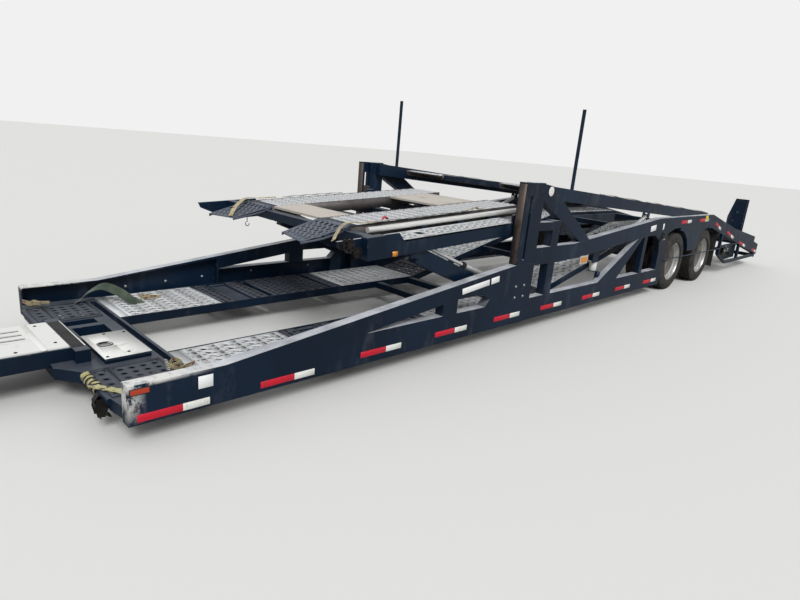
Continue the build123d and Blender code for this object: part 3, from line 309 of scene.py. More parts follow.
def deck_place(deck, side, start=0.0, lift=0.0, ahead=1):
    """Maps u ahead or back (-1) along a deck from start, v across and w up from lift, at the deck's slope."""
    hinge, fall = DECKS[deck]
    c, s = math.cos(fall), math.sin(fall)

    def place(u, v, w):
        u, w = start + ahead * u, w + lift
        return np.column_stack([hinge.x + u * c + w * s, side * v, hinge.z - u * s + w * c])

    return place


def placed(place, points):
    """Points (u, v, w) through a mapping."""
    return place(*np.array(points, float).T)


def smooth_path(points, count=40):
    """A smooth line through points, in cubics whose slopes are half the chord between their neighbours.

    p(t) = (2t^3 - 3t^2 + 1) a + (t^3 - 2t^2 + t) m + (3t^2 - 2t^3) b + (t^3 - t^2) n, with t from 0 to 1.
    """
    points = np.asarray(points, float)
    slope = np.gradient(points, axis=0)
    where = np.linspace(0, len(points) - 1, count)
    index = np.minimum(where.astype(int), len(points) - 2)
    t = (where - index)[:, None]
    a, b, m, n = points[index], points[index + 1], slope[index], slope[index + 1]
    return (2 * t ** 3 - 3 * t ** 2 + 1) * a + (t ** 3 - 2 * t ** 2 + t) * m \
        + (3 * t ** 2 - 2 * t ** 3) * b + (t ** 3 - t ** 2) * n


def webbing(points, width, across, thick=0.004, count=40, ripple=0.0):
    """A flat strap: a section width by thick carried along a smooth line.

    Its width follows across, made square to the line, and its middle stands a little proud. ripple lifts the
    strap by that much times sin(9 pi t), so that it doesn't lie dead flat.
    """
    path = smooth_path(points, count)
    ahead = unit(np.gradient(path, axis=0))
    wide = smooth_path(across, count) if np.ndim(across) > 1 else np.array(across, float)
    wide = unit(wide - ahead * (wide * ahead).sum(1, keepdims=True))
    up = np.cross(ahead, wide)
    path = path + up * ripple * np.sin(np.linspace(0, 9 * math.pi, count))[:, None]
    edge, crown = 0.5, 0.12
    ring = ((edge, -edge), (edge, edge), (0.3, edge + crown), (-0.3, edge + crown), (-edge, edge),
            (-edge, -edge), (-0.3, crown - edge), (0.3, crown - edge))
    return skin(np.stack([path + wide * width * v + up * thick * w for v, w in ring], 1))


def bolt(spot, axis, side, size, height):
    """A hexagon head on a washer, turned about an axis: washer, head and its rounded top."""
    profile = [(0.0, 0.0), (size * 1.5, 0.0), (size * 1.5, 0.002), (size, 0.0025), (size, height * 0.85),
               (size * 0.8, height), (0.0, height)]
    return lathe(profile, spot, axis, 6, side)


def round_plate(centre, face, side, circle, inner, outer, holes, hole, thick):
    """A disc with a ring of holes: a punched strip wrapped round its centre (x, z).

    x = centre + r cos t, z = centre + r sin t, y = face + w, with t = u / circle and r = v.
    """
    def place(u, v, w):
        angle = u / circle
        return np.column_stack([centre[0] + v * np.cos(angle), side * (face + w),
                                centre[1] + v * np.sin(angle)])

    turn, reach = 2 * math.pi * circle, outer - circle
    pitch = turn / holes, 2 * reach
    return [punched(place, (0, turn), (circle - reach, outer), pitch, hole, 0.0, thick, 16),
            strip(place, (0, turn), (inner, circle - reach), (-thick, 0.0), 48)]


# Materials


def linear(colour):
    """An sRGB hex colour as linear red, green, blue and alpha."""
    channels = [int(colour[i:i + 2], 16) / 255 for i in (1, 3, 5)]
    return tuple(c / 12.92 if c <= 0.04045 else ((c + 0.055) / 1.055) ** 2.4 for c in channels) + (1.0,)


def feed(node, inputs):
    """Fills a node's sockets, by name or in order, with numbers, hex colours or other nodes' outputs."""
    for socket, value in inputs.items() if isinstance(inputs, dict) else enumerate(inputs):
        if isinstance(value, bpy.types.NodeSocket):
            node.id_data.links.new(value, node.inputs[socket])
        else:
            node.inputs[socket].default_value = linear(value) if isinstance(value, str) else value


def add_node(tree, kind, inputs=(), output=0, **settings):
    """Adds a node, sets its properties, fills its sockets, and gives one of its outputs."""
    node = tree.nodes.new("ShaderNode" + kind)
    for name, value in settings.items():
        setattr(node, name, value)
    feed(node, inputs)
    return node.outputs[output]


def new_material(name, inputs):
    """A material with one Principled shader, its tree and that shader."""
    material = bpy.data.materials.new(name)
    material.use_nodes = True
    shader = material.node_tree.nodes["Principled BSDF"]
    feed(shader, inputs)
    return material, material.node_tree, shader


def clouds(tree, across_mm, detail=5.0, roughness=0.6, stretch=None):
    """Clouds on Object coordinates, the largest across_mm wide, stretched that many times along each axis."""
    where = add_node(tree, "TexCoord", output="Object")
    if stretch:
        where = add_node(tree, "Mapping", {"Vector": where, "Scale": [1 / length for length in stretch]})
    return add_node(tree, "TexNoise", {"Vector": where, "Scale": 1000 / across_mm, "Detail": detail,
                                       "Roughness": roughness})


def share(tree, *spans):
    """How far a layer shows: the product of spans, each a value that goes from 0 to 1 between two levels.

    A fourth and a fifth number in a span stand for that 0 and 1.
    """
    shown = None
    for span in spans:
        part = add_node(tree, "MapRange", span)
        shown = add_node(tree, "Math", (shown, part), operation="MULTIPLY") if shown else part
    return shown


def layered(tree, colour, *layers):
    """A colour with others laid over it in turn, each with the share of it that shows."""
    for shown, over in layers:
        colour = add_node(tree, "Mix", {0: shown, 6: colour, 7: over}, 2, data_type="RGBA")
    return colour


def worn_enamel(name, base, patch, bare, dust, roughness, edge_mm, wear, dust_amount, flaked=False):
    """Enamel sprayed on welded steel: soft fading 0.9 m across, chips of 25 mm along edges, dust and painted
    sheen on its tops.

    The chips show primer and bright steel, the pale layer on faces that look up, part dust and part painted
    sheen of the sky, turns the tops of the flanges pale, and orange peel 4 mm across breaks the gloss. Flaked
    enamel also has its paint worn off round the front corners.
    """
    material, tree, shader = new_material(name, {"Roughness": roughness, "Specular IOR Level": 0.28})
    facing = add_node(tree, "NewGeometry", output="Normal")
    up = add_node(tree, "SeparateXYZ", (facing,), "Z")
    chips = clouds(tree, 25, 4.0, 0.65)
    smears = clouds(tree, 260, 6.0, 0.65, (1.0, 1.0, 2.6))
    rounded = add_node(tree, "Bevel", {"Radius": edge_mm / 1000}, samples=4)
    agree = add_node(tree, "VectorMath", (rounded, facing), "Value", operation="DOT_PRODUCT")
    # Faces that look up are laid over with the dust colour: part settled dust, part painted sheen of the sky.
    tops_dust_and_sheen = share(tree, (up, 0.60, 0.97), (smears, 0.25, 0.62, dust_amount * 0.45, dust_amount))
    colour = layered(tree, base, (share(tree, (clouds(tree, 900), 0.38, 0.70)), patch),
                     (share(tree, (smears, 0.56, 0.78, 0.0, 0.08)), dust), (tops_dust_and_sheen, dust))
    if flaked:
        colour = layered(tree, colour, flaked_layer(tree, up, chips))
    chipped = share(tree, (agree, 0.995, 0.80), (chips, 0.62 - wear, 0.74 - wear))
    peel = add_node(tree, "Bump", {"Strength": 0.12, "Distance": 0.0006, "Height": clouds(tree, 4, 2.0),
                                   "Normal": rounded})
    feed(shader, {"Base Color": layered(tree, colour, (chipped, bare)), "Normal": peel,
                  "Roughness": share(tree, (smears, 0.3, 0.8, roughness - 0.05, roughness + 0.18))})
    return material


def flaked_layer(tree, up, chips):
    """Primer and rust in flakes 60 mm across: at the front corner, on the ledge behind it, along its lip."""
    x, y, z = add_node(tree, "SeparateXYZ", (add_node(tree, "TexCoord", output="Object"),)).node.outputs
    lip_low, lip_high = 0.385, 0.405
    worn = share(tree, (x, at(0.11), at(0.01)), (z, RAIL_BOTTOM, RAIL_BOTTOM + 0.16), (y, 0.0, 0.2))
    for other in (share(tree, (x, at(0.75), at(0.30)), (up, 0.60, 0.97)),
                  share(tree, (x, at(0.55), at(0.2)), (z, lip_low, lip_high))):
        worn = add_node(tree, "Math", (worn, other), operation="MAXIMUM")
    flakes = clouds(tree, 60, 7.0, 0.72, (1.0, 1.0, 1.8))
    under = layered(tree, "#DCDDDB", (share(tree, (chips, 0.52, 0.66)), "#9A7058"),
                    (share(tree, (flakes, 0.44, 0.56)), "#DADBD8"))
    return share(tree, (worn, 0.0, 1.0), (flakes, 0.40, 0.50)), under


def scuffed_metal(name, light, dark, grime, roughness, metallic, grime_low, across_mm=110):
    """Bare metal walked and driven on: bright scuffs along x, dull oxide between, grime 300 mm across."""
    material, tree, shader = new_material(name, {"Metallic": metallic, "Roughness": roughness})
    scuffs = clouds(tree, across_mm / 24, 6.0, 0.7, (12.0, 1.0, 1.0))
    grimy = share(tree, (clouds(tree, 300, 6.0, 0.62), grime_low, grime_low + 0.16, 0.0, 0.85))
    dull = share(tree, (scuffs, 0.35, 0.68))
    feed(shader, {"Base Color": layered(tree, light, (dull, dark), (grimy, grime)),
                  "Roughness": share(tree, (scuffs, 0.0, 1.0, roughness - 0.12, roughness + 0.2)),
                  "Normal": add_node(tree, "Bump", {"Strength": 0.2, "Distance": 0.0008, "Height": scuffs})})
    return material


def moulded_rubber(name, base, dust, dust_amount, roughness=0.82):
    """Vulcanised rubber, greyed by road dust in soft patches 140 mm across, with a fine grain of 1 mm."""
    material, tree, shader = new_material(name, {"Roughness": roughness})
    dusty = share(tree, (clouds(tree, 140, 7.0, 0.65), 0.35, 0.72, 0.0, dust_amount))
    grain = add_node(tree, "Bump", {"Strength": 0.3, "Distance": 0.0004, "Height": clouds(tree, 1, 2.0)})
    feed(shader, {"Base Color": layered(tree, base, (dusty, dust)), "Normal": grain})
    return material


def soiled_gloss(name, base, dirt, roughness, dirt_low=0.60, across_mm=70, coat=0.0):
    """A smooth sheet, lens or label, with a thin soiling that gathers in clouds."""
    material, tree, shader = new_material(name, {"Roughness": roughness, "Coat Weight": coat})
    soiled = share(tree, (clouds(tree, across_mm, 7.0, 0.7), dirt_low, dirt_low + 0.2, 0.0, 0.8))
    feed(shader, {"Base Color": layered(tree, base, (soiled, dirt)),
                  "Roughness": share(tree, (soiled, 0.0, 1.0, roughness, min(1.0, roughness + 0.4)))})
    return material


def prismatic_tape(name, base, shade, dirt):
    """Retroreflective sheeting: honeycomb cells moulded 4 mm apart, drawn at 9 mm, under a glossy film."""
    material, tree, shader = new_material(name, {"Roughness": 0.28})
    where = add_node(tree, "TexCoord", output="Object")
    cells = add_node(tree, "TexVoronoi", {"Vector": where, "Scale": 110.0}, "Distance",
                     feature="DISTANCE_TO_EDGE")
    soiled = share(tree, (clouds(tree, 90, 7.0, 0.7), 0.58, 0.74, 0.0, 0.75))
    within = share(tree, (cells, 0.02, 0.16))
    feed(shader, {"Base Color": layered(tree, shade, (within, base), (soiled, dirt))})
    return material


def woven_webbing(name, base, faded, stripe=None):
    """Woven polyester webbing: weft ribs 2 mm apart, drawn at 6 mm so that they show, faded and soiled, with
    painted shade between the ribs.
    """
    material, tree, shader = new_material(name, {"Roughness": 0.85, "Sheen Weight": 0.25})
    where = add_node(tree, "TexCoord", output="Object")
    ribs = add_node(tree, "TexWave", {"Vector": where, "Scale": 26.0, "Distortion": 1.0, "Detail": 2.0},
                    "Fac")
    layers = [(share(tree, (clouds(tree, 120), 0.35, 0.7)), faded)]
    if stripe:
        layers.append((share(tree, (clouds(tree, 45, 3.0, 0.5), 0.56, 0.60)), stripe))
    # Painted shade: the troughs between the ribs are darkened by up to 0.3 towards near black.
    layers.append((share(tree, (ribs, 0.2, 0.9, 0.3, 0.0)), "#20201C"))
    feed(shader, {"Base Color": layered(tree, base, *layers),
                  "Normal": add_node(tree, "Bump", {"Strength": 0.5, "Distance": 0.001, "Height": ribs})})
    return material


class FinishSettings(bpy.types.PropertyGroup):
    """Colours of the trailer's finishes."""

    navy: bpy.props.StringProperty(name="Navy", description="Enamel of the frames", default="#091A2C")
    navy_patch: bpy.props.StringProperty(name="Faded navy", description="Enamel where it has faded",
                                         default="#10253C")
    bare: bpy.props.StringProperty(name="Chipped edge", description="What shows where the enamel is chipped",
                                   default="#A2A5A8")
    # Laid on faces that look up, this pale colour is part yard dust and part painted sheen of the sky.
    dust: bpy.props.StringProperty(name="Dust", description="Yard dust on faces that look up",
                                   default="#C8CCD2")
    charcoal: bpy.props.StringProperty(name="Charcoal", description="Painted deck plates", default="#343B47")
    aluminium: bpy.props.StringProperty(name="Aluminium", description="Bright wheel tracks",
                                        default="#E6E8EA")
    oxide: bpy.props.StringProperty(name="Oxide", description="Dull aluminium between the scuffs",
                                    default="#BABDC0")
    edge_wear: bpy.props.FloatProperty(name="Edge wear", default=7.0, min=0.5, max=30.0,
                                       description="Width of the chipped band along edges, mm")


def build_finishes():
    """Every finish, under its plain name."""
    look = bpy.context.scene.trailer_finish
    navy = (look.navy, look.navy_patch, look.bare, look.dust, 0.34, look.edge_wear)
    return {
        "frame enamel": worn_enamel("navy_enamel_on_frames", *navy, 0.05, 0.95),
        "nose enamel": worn_enamel("navy_enamel_flaked_at_the_nose", *navy, 0.07, 0.95, True),
        "deck enamel": worn_enamel("navy_enamel_on_deck_steel", *navy, 0.04, 0.12),
        "charcoal enamel": worn_enamel("charcoal_enamel_on_plates", look.charcoal, "#434852", "#8E8D89",
                                       "#77787A", 0.5, 3.0, 0.06, 0.25),
        "flap enamel": worn_enamel("blue_grey_enamel_on_flaps", "#4C5462", "#5E6674", "#9A9B9A", "#8D9096",
                                   0.5, 3.0, 0.06, 0.35),
        "punched aluminium": scuffed_metal("punched_aluminium", look.aluminium, look.oxide, "#77746F", 0.5,
                                           0.25, 0.62),
        "bright tube": scuffed_metal("drawn_aluminium_tube", "#F0F0EE", "#D4D4D0", "#A39F97", 0.36, 0.35,
                                     0.64),
        "skirt steel": scuffed_metal("worn_track_skirt_steel", "#6E6867", "#4E4A4C", "#3A3738", 0.5, 0.35,
                                     0.5),
        "greasy steel": scuffed_metal("greasy_worn_steel", "#6F625B", "#4C423D", "#2E2825", 0.5, 0.6, 0.5),
        "dark steel": scuffed_metal("dark_oily_steel", "#34322F", "#232120", "#171615", 0.45, 0.6, 0.5),
        "polished rim": scuffed_metal("dull_polished_aluminium", "#DCDCDA", "#BEBDB9", "#7B746B", 0.34, 0.8,
                                      0.64),
        "brake-dusted rim": scuffed_metal("brake_dusted_aluminium", "#9A928A", "#7A7068", "#4C433C", 0.45,
                                          0.5, 0.45),
        "chromed rod": scuffed_metal("chromed_steel_rod", "#F4F4F4", "#E2E2E2", "#B4B2AA", 0.22, 0.60, 0.72),
        "galvanised steel": scuffed_metal("galvanised_steel", "#C6C8C8", "#A0A2A2", "#77756F", 0.42, 0.75,
                                          0.6, 60),
        "tyre rubber": moulded_rubber("tyre_rubber", "#1D1C1C", "#4A4743", 0.80),
        "black rubber": moulded_rubber("black_rubber_sheet", "#1B1B1C", "#4A4846", 0.45, 0.65),
        "painted cover": soiled_gloss("white_painted_cover", "#E2E3E0", "#A79F90", 0.42, 0.57, 110),
        "board": soiled_gloss("weathered_board", "#BDB7AE", "#948B7F", 0.75, 0.50, 260),
        "red tape": prismatic_tape("red_prismatic_tape", "#DC1C36", "#A81428", "#6E3834"),
        "white tape": prismatic_tape("white_prismatic_tape", "#F2F3EE", "#D2D3CE", "#98968F"),
        "blank label": soiled_gloss("blank_vinyl_label", "#F0F2F2", "#A9A59B", 0.4),
        "yellow label": soiled_gloss("yellow_vinyl_label", "#E2CB30", "#8F8230", 0.4),
        "red lens": soiled_gloss("red_acrylic_lens", "#8E1418", "#4A2420", 0.15, 0.62, coat=0.6),
        "amber lens": soiled_gloss("amber_acrylic_lens", "#D88A2C", "#7A5A34", 0.18, coat=0.6),
        "orange lens": soiled_gloss("orange_acrylic_lens", "#B23A1C", "#5E3426", 0.18, 0.58, coat=0.6),
        "clear reflector": soiled_gloss("clear_round_reflector", "#E9EAE9", "#B4B4B0", 0.12, 0.66, coat=0.8),
        "green webbing": woven_webbing("green_polyester_webbing", "#2F3F33", "#55604F"),
        "tan webbing": woven_webbing("tan_polyester_webbing", "#A79A6E", "#C4B993", "#7E4A3A"),
        "pale webbing": woven_webbing("faded_polyester_webbing", "#B9B8B0", "#DAD9D3"),
        "yellow webbing": woven_webbing("yellow_polyester_webbing", "#B0A868", "#C9C493", "#2A2A26"),
    }


FINISH = {}

# The finish of each node, where it keeps its own shape
NODE_FINISHES = {
    "frame enamel": ("lower_rails", "posts", "upper_chords", "wheel_guards", "ramp_beams", "rear_deck_rails",
                     "front_deck_webs", "rear_deck_cross_members", "guide_poles"),
    "nose enamel": ("front_sides",),
    "deck enamel": ("hanger_plates", "cross_members", "tongue", "rear_bumper", "nose_deck", "flap_hinges",
                    "front_deck_cross_members", "deck_barrel_left", "deck_barrel_right", "lift_sleeve_left",
                    "lift_sleeve_right", "pin_brackets", "rear_flap_left", "rear_flap_right",
                    "front_deck_box", "underrun_bars"),
    "charcoal enamel": ("suspension", "axles"),
    "greasy steel": ("kingpin", "slide_blocks", "landing_legs", "lift_arm_left", "lift_arm_right"),
    "chromed rod": ("deck_rod_left", "deck_rod_right"),
    "bright tube": ("edge_tubes",),
    "painted cover": ("tongue_cover",),
    "black rubber": ("mudflaps",),
    "board": ("front_deck_panels",),
    "red lens": ("tail_lamps",),
    "amber lens": ("marker_lamps",),
}


class TRAILER_OT_finish_nodes(bpy.types.Operator):
    """Gives each carried-over node its finish"""

    bl_idname = "trailer.finish_nodes"
    bl_label = "Finish the Frame"

    def execute(self, context):
        FINISH.update(build_finishes())
        for finish, names in NODE_FINISHES.items():
            for name in names:
                materials = NODES[name].data.materials
                materials.clear()
                materials.append(FINISH[finish])
        return {"FINISHED"}


class TrackSettings(bpy.types.PropertyGroup):
    """Punched wheel tracks."""

    wide_pitch: bpy.props.FloatProperty(name="Belly pitch", description="Hole spacing on the belly tracks",
                                        default=0.088, unit="LENGTH")
    wide_hole: bpy.props.FloatProperty(name="Belly hole", description="Hole width on the belly tracks",
                                       default=0.046, unit="LENGTH")
    fine_pitch: bpy.props.FloatProperty(name="Fine pitch", description="Hole spacing of the fine plates",
                                        default=0.060, unit="LENGTH")
    deck_pitch: bpy.props.FloatProperty(name="Deck pitch", description="Row spacing on the upper decks",
                                        default=0.060, unit="LENGTH")
    lip: bpy.props.FloatProperty(name="Lip", description="How far the punched rims stand up", default=0.005,
                                 unit="LENGTH")
    plate: bpy.props.FloatProperty(name="Plate", description="Thickness of the track plates", default=0.008,
                                   unit="LENGTH")
    beam: bpy.props.FloatProperty(name="Beam", description="Width of the beams under the plates",
                                  default=0.050, unit="LENGTH")


def top_ends(node, depth=0.0, front=None):
    """The two ends (x, z) of a sloping track's top, from its box.

    depth is how thick the rear end is where that is the lower one. Where it is the higher one, front is the
    height of the front end.
    """
    low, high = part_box(node)
    if front is None:
        return (high.x, high.z), (low.x, low.z + depth)
    return (high.x, front), (low.x, high.z)


# Plates of the lower tracks, in metres along each from its front: start, end, pattern and finish
BELLY_PLATES = ((0.0, 0.080, "plain", "punched aluminium"), (0.085, 0.955, "wide", "punched aluminium"),
                (0.960, 1.130, "fine", "charcoal enamel"), (1.320, 1.500, "fine", "charcoal enamel"),
                (1.560, 2.290, "fine", "charcoal enamel"), (2.340, 2.470, "fine", "charcoal enamel"),
                (2.475, 3.630, "fine", "punched aluminium"))
CLIMB_PLATES = ((0.0, 0.60, "wide", "charcoal enamel"), (0.605, 3.35, "wide", "punched aluminium"))
LEVEL_PLATES = ((0.0, 2.23, "wide", "punched aluminium"),)
RAMP_PLATES = ((0.0, 3.42, "wide", "charcoal enamel"),)
TRACK_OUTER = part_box("belly_tracks")[1].y
CLIMB_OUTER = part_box("climb_tracks")[1].y
# Node, the ends of its top, outer edge, depth and plates
LOWER_TRACKS = (
    ("belly_tracks", top_ends("belly_tracks", front=BELLY_TOP), TRACK_OUTER, 0.085, BELLY_PLATES),
    ("climb_tracks", top_ends("climb_tracks", front=BELLY_TOP), CLIMB_OUTER, 0.085, CLIMB_PLATES),
    ("wheel_tracks", top_ends("wheel_tracks", front=LEVEL_TOP), CLIMB_OUTER, 0.050, LEVEL_PLATES),
    ("ramp_tracks", top_ends("ramp_tracks", depth=0.070), TRACK_OUTER, 0.070, RAMP_PLATES),
)
BELLY_DROP, DROP_LEVELS = (1.131, 1.319), (-0.034, -0.028)  # a plain plate set lower between two punched ones
CROSS_BAR = 0.040
PLATE_RIM, TRACK_SIDE = 0.022, 0.004
FINE_HOLE, FINE_SPREAD, LONG_HOLE = 0.60, 1.45, 1.15  # a hole to its pitch, across to along, long to wide
GAP = 0.0005  # between a plate and what carries it


class TRAILER_OT_lower_tracks(bpy.types.Operator):
    """Punched plates on painted beams, for the belly, the climb, the level part and the ramp"""

    bl_idname = "trailer.lower_tracks"
    bl_label = "Lower Wheel Tracks"

    def execute(self, context):
        settings = context.scene.trailer_track
        thick, width, lip = settings.plate, settings.beam, settings.lip
        beam_top, beam_edge = -lip - thick - GAP, TRACK_SIDE + GAP
        patterns = {"wide": (settings.wide_pitch, settings.wide_hole, 1.0, 10),
                    "fine": (settings.fine_pitch, settings.fine_pitch * FINE_HOLE, FINE_SPREAD, 8)}
        for node, (front, rear), outer, depth, plates in LOWER_TRACKS:
            length = front[0] - rear[0]
            across = TRACK_INNER + TRACK_SIDE, outer - TRACK_SIDE
            between = TRACK_INNER + width, outer - width
            shells, beams = {}, []
            for side in SIDES:
                place = slope_place(front, rear, side)
                lowered = slope_place((front[0], front[1] - lip), (rear[0], rear[1] - lip), side)
                for start, end, pattern, finish in plates:
                    end = min(end, length)
                    made = shells.setdefault(finish, [])
                    if pattern == "plain":
                        made.append(strip(lowered, (start, end), across, (-thick, 0.0)))
                        continue
                    pitch, hole, spread, sides = patterns[pattern]
                    made += framed(lowered, (start, end), across, PLATE_RIM, thick, (pitch, pitch * spread),
                                   (hole, hole * LONG_HOLE * spread), lip, thick, sides, shift=0.5)
                    for edge in (start + CROSS_BAR / 2, end - CROSS_BAR / 2):
                        beams.append(beam(lambda a, b, c: place(b + edge, a, c), between,
                                          (-CROSS_BAR / 2, CROSS_BAR / 2), (0.012 - depth, beam_top)))
                for v0 in (TRACK_INNER + beam_edge, outer - width - beam_edge):
                    beams.append(beam(place, (0.0, length), (v0, v0 + width), (-depth, beam_top)))
                if node == "belly_tracks":
                    beams.append(strip(place, BELLY_DROP, between, DROP_LEVELS))
                for sheet in ((TRACK_INNER, across[0]), (across[1], outer)):
                    beams.append(strip(place, (0.0, length), sheet, (0.006 - depth, 0.0)))
            for finish, made in shells.items():
                shade = "dark" if finish == "charcoal enamel" else "bright"
                piece(f"{node}_{shade}_plates", made, finish, stands_for=node)
            piece(node + "_beams", beams, "deck enamel", 40, stands_for=node)
        return {"FINISHED"}


# Upper tracks: deck, front and rear from its hinge, inner and outer edge, top, depth and the dark lead plate
UPPER_TRACKS = (("rear_deck", -0.430, -5.700, 0.450, 1.098, 0.042, 0.070, 0.0),
                ("front_deck", 1.930, -0.525, 0.380, 0.830, 0.068, 0.120, 0.105))
TEETH, SKIRT, SKIRT_PROUD, FOOT, FOOT_THICK = 0.014, 0.005, 0.6, 0.040, 0.006
RIB_START, RIB_PITCH, RIB_FOOT = 0.30, 0.60, -0.035
GRIP_PITCH, GRIP_HOLE = 1.08, (0.56, 0.74)  # across the deck, and along and across, as shares of the row
LEAD_PITCH, LEAD_HOLE = 0.070, (0.058, 0.040)


class TRAILER_OT_upper_tracks(bpy.types.Operator):
    """Grip tracks of the two upper decks: rows of raised, toothed holes between folded skirts"""

    bl_idname = "trailer.upper_tracks"
    bl_label = "Upper Wheel Tracks"

    def execute(self, context):
        settings = context.scene.trailer_track
        thick, row = settings.plate, settings.deck_pitch
        for body, front, rear, inner, outer, top, depth, lead in UPPER_TRACKS:
            plates, dark, skirts = [], [], []
            length, bottom = front - rear, TEETH - depth
            across = inner + SKIRT, outer - SKIRT
            for side in SIDES:
                place = deck_place(body, side, front, top - TEETH, -1)
                plates += framed(place, (lead + 0.004, length), across, 0.018, thick, (row, row * GRIP_PITCH),
                                 (row * GRIP_HOLE[0], row * GRIP_HOLE[1]), TEETH, thick, 8, teeth=0.55,
                                 blunt=0.8, shift=0.5)
                if lead:
                    dark += framed(place, (0.0, lead), across, 0.014, thick, (lead, LEAD_PITCH), LEAD_HOLE,
                                   0.003, thick, 12, blunt=0.7, skew=-0.25)
                for sheet in ((inner, across[0]), (across[1], outer)):
                    skirts.append(strip(place, (0.0, length), sheet, (bottom, TEETH * SKIRT_PROUD)))
                for v0 in (across[0], across[1] - FOOT):
                    skirts.append(strip(place, (0.0, length), (v0, v0 + FOOT), (bottom, bottom + FOOT_THICK)))
                for u in np.arange(RIB_START, length - 0.1, RIB_PITCH):
                    skirts.append(strip(place, (u, u + CROSS_BAR), (across[0] + 0.001, across[1] - 0.001),
                                        (RIB_FOOT, -thick - GAP)))
            node = body + "_tracks"
            piece(node + "_grip_plates", plates, "punched aluminium", body=body, stands_for=node)
            piece(node + "_skirts", skirts, "skirt steel", body=body, stands_for=node)
            if dark:
                piece(node + "_lead_plates", dark, "charcoal enamel", body=body, stands_for=node)
        return {"FINISHED"}


class WheelSettings(bpy.types.PropertyGroup):
    """Twin wheels."""

    groove_depth: bpy.props.FloatProperty(name="Groove depth", description="Depth of the tread grooves",
                                          default=0.011, unit="LENGTH")
    lugs: bpy.props.IntProperty(name="Shoulder lugs", description="Notches round each shoulder", default=60,
                                min=12, max=120)
    studs: bpy.props.IntProperty(name="Studs", description="Wheel studs on each hub", default=10)
    stud_circle: bpy.props.FloatProperty(name="Stud circle", description="Radius of the circle of studs",
                                         default=0.122, unit="LENGTH")
    hand_holes: bpy.props.IntProperty(name="Hand holes", description="Hand holes in each disc", default=8)
    hole_circle: bpy.props.FloatProperty(name="Hand hole circle", description="Radius of their circle",
                                         default=0.161, unit="LENGTH")


TYRE_WIDTH, TWIN_SPACING, BEAD = 0.255, 0.330, 0.286
RIM_HALF, RIM_BORE, RIM_DROP = 0.105, 0.248, 0.064
DISC_EDGE, DISC_BORE, DISC_THICK, HAND_HOLE = 0.205, 0.105, 0.010, (0.050, 0.046)
GROOVES, GROOVE, CROWN_FALL, LUG_NOTCH = (-0.60, -0.30, 0.0, 0.30, 0.60), 0.0045, 0.006, 0.006
HUB_RADIUS, CAP_PROUD = 0.110, 0.007


def tyre_shell(centre, settings, side):
    """A tyre as radius(angle, along): a lathe profile whose shoulders are notched in turn round the tread.

    The crown is radius - 0.006 (along / half)^2, cut by five grooves; the wall bulges as a half sine, and two
    raised rings run round it.
    """
    half, shoulder = TYRE_WIDTH / 2, TYRE_RADIUS - CROWN_FALL
    edge, deep = half * 0.80, settings.groove_depth
    along, depth = [-edge], [0.0]
    for middle in np.array(GROOVES) * half:
        along += [middle - GROOVE, middle - GROOVE * 0.6, middle + GROOVE * 0.6, middle + GROOVE]
        depth += [0.0, deep, deep, 0.0]
    along, depth = np.array(along + [edge]), np.array(depth + [0.0])
    crown = TYRE_RADIUS - CROWN_FALL * (along / half) ** 2 - depth
    wall = np.linspace(0.0, 1.0, 17)[1:]
    bulge = edge + (half - edge) * np.sin(np.clip(wall * 2.1, 0, math.pi * 0.97)) ** 0.7
    bulge[-2:] = half * 0.78, half * 0.70
    bulge[[3, 10]] += 0.0016
    wall = shoulder + (BEAD - shoulder) * wall
    profile = np.concatenate([np.column_stack([crown, along]), np.column_stack([wall, bulge]),
                              np.column_stack([wall, -bulge])[::-1]])
    grid, faces = lathe(profile, centre, "y", settings.lugs * 2, side)
    columns = [0, len(along) - 1, len(along), len(profile) - 1]
    spoke = (grid[::2, columns] - centre) * (1, 0, 1)
    grid[::2, columns] -= LUG_NOTCH * unit(spoke)
    return grid, faces


def rim_profile(middle):
    """The rim's section (radius, along): two flanges, bead seats, and the drop between them."""
    outer = [(RIM_HALF, 0.012), (RIM_HALF - 0.010, 0.012), (RIM_HALF - 0.014, -0.002),
             (RIM_HALF - 0.045, -0.006), (RIM_HALF - 0.062, -0.030)]
    inner = [(RIM_HALF - RIM_DROP, RIM_BORE - BEAD), (RIM_HALF - 0.047, -0.016), (RIM_HALF - 0.016, -0.012),
             (RIM_HALF, -0.004)]
    section = [(-along, rise) for along, rise in outer] + outer[::-1]
    section += inner[::-1] + [(-along, rise) for along, rise in inner]
    return [(BEAD + rise, middle + along) for along, rise in section]


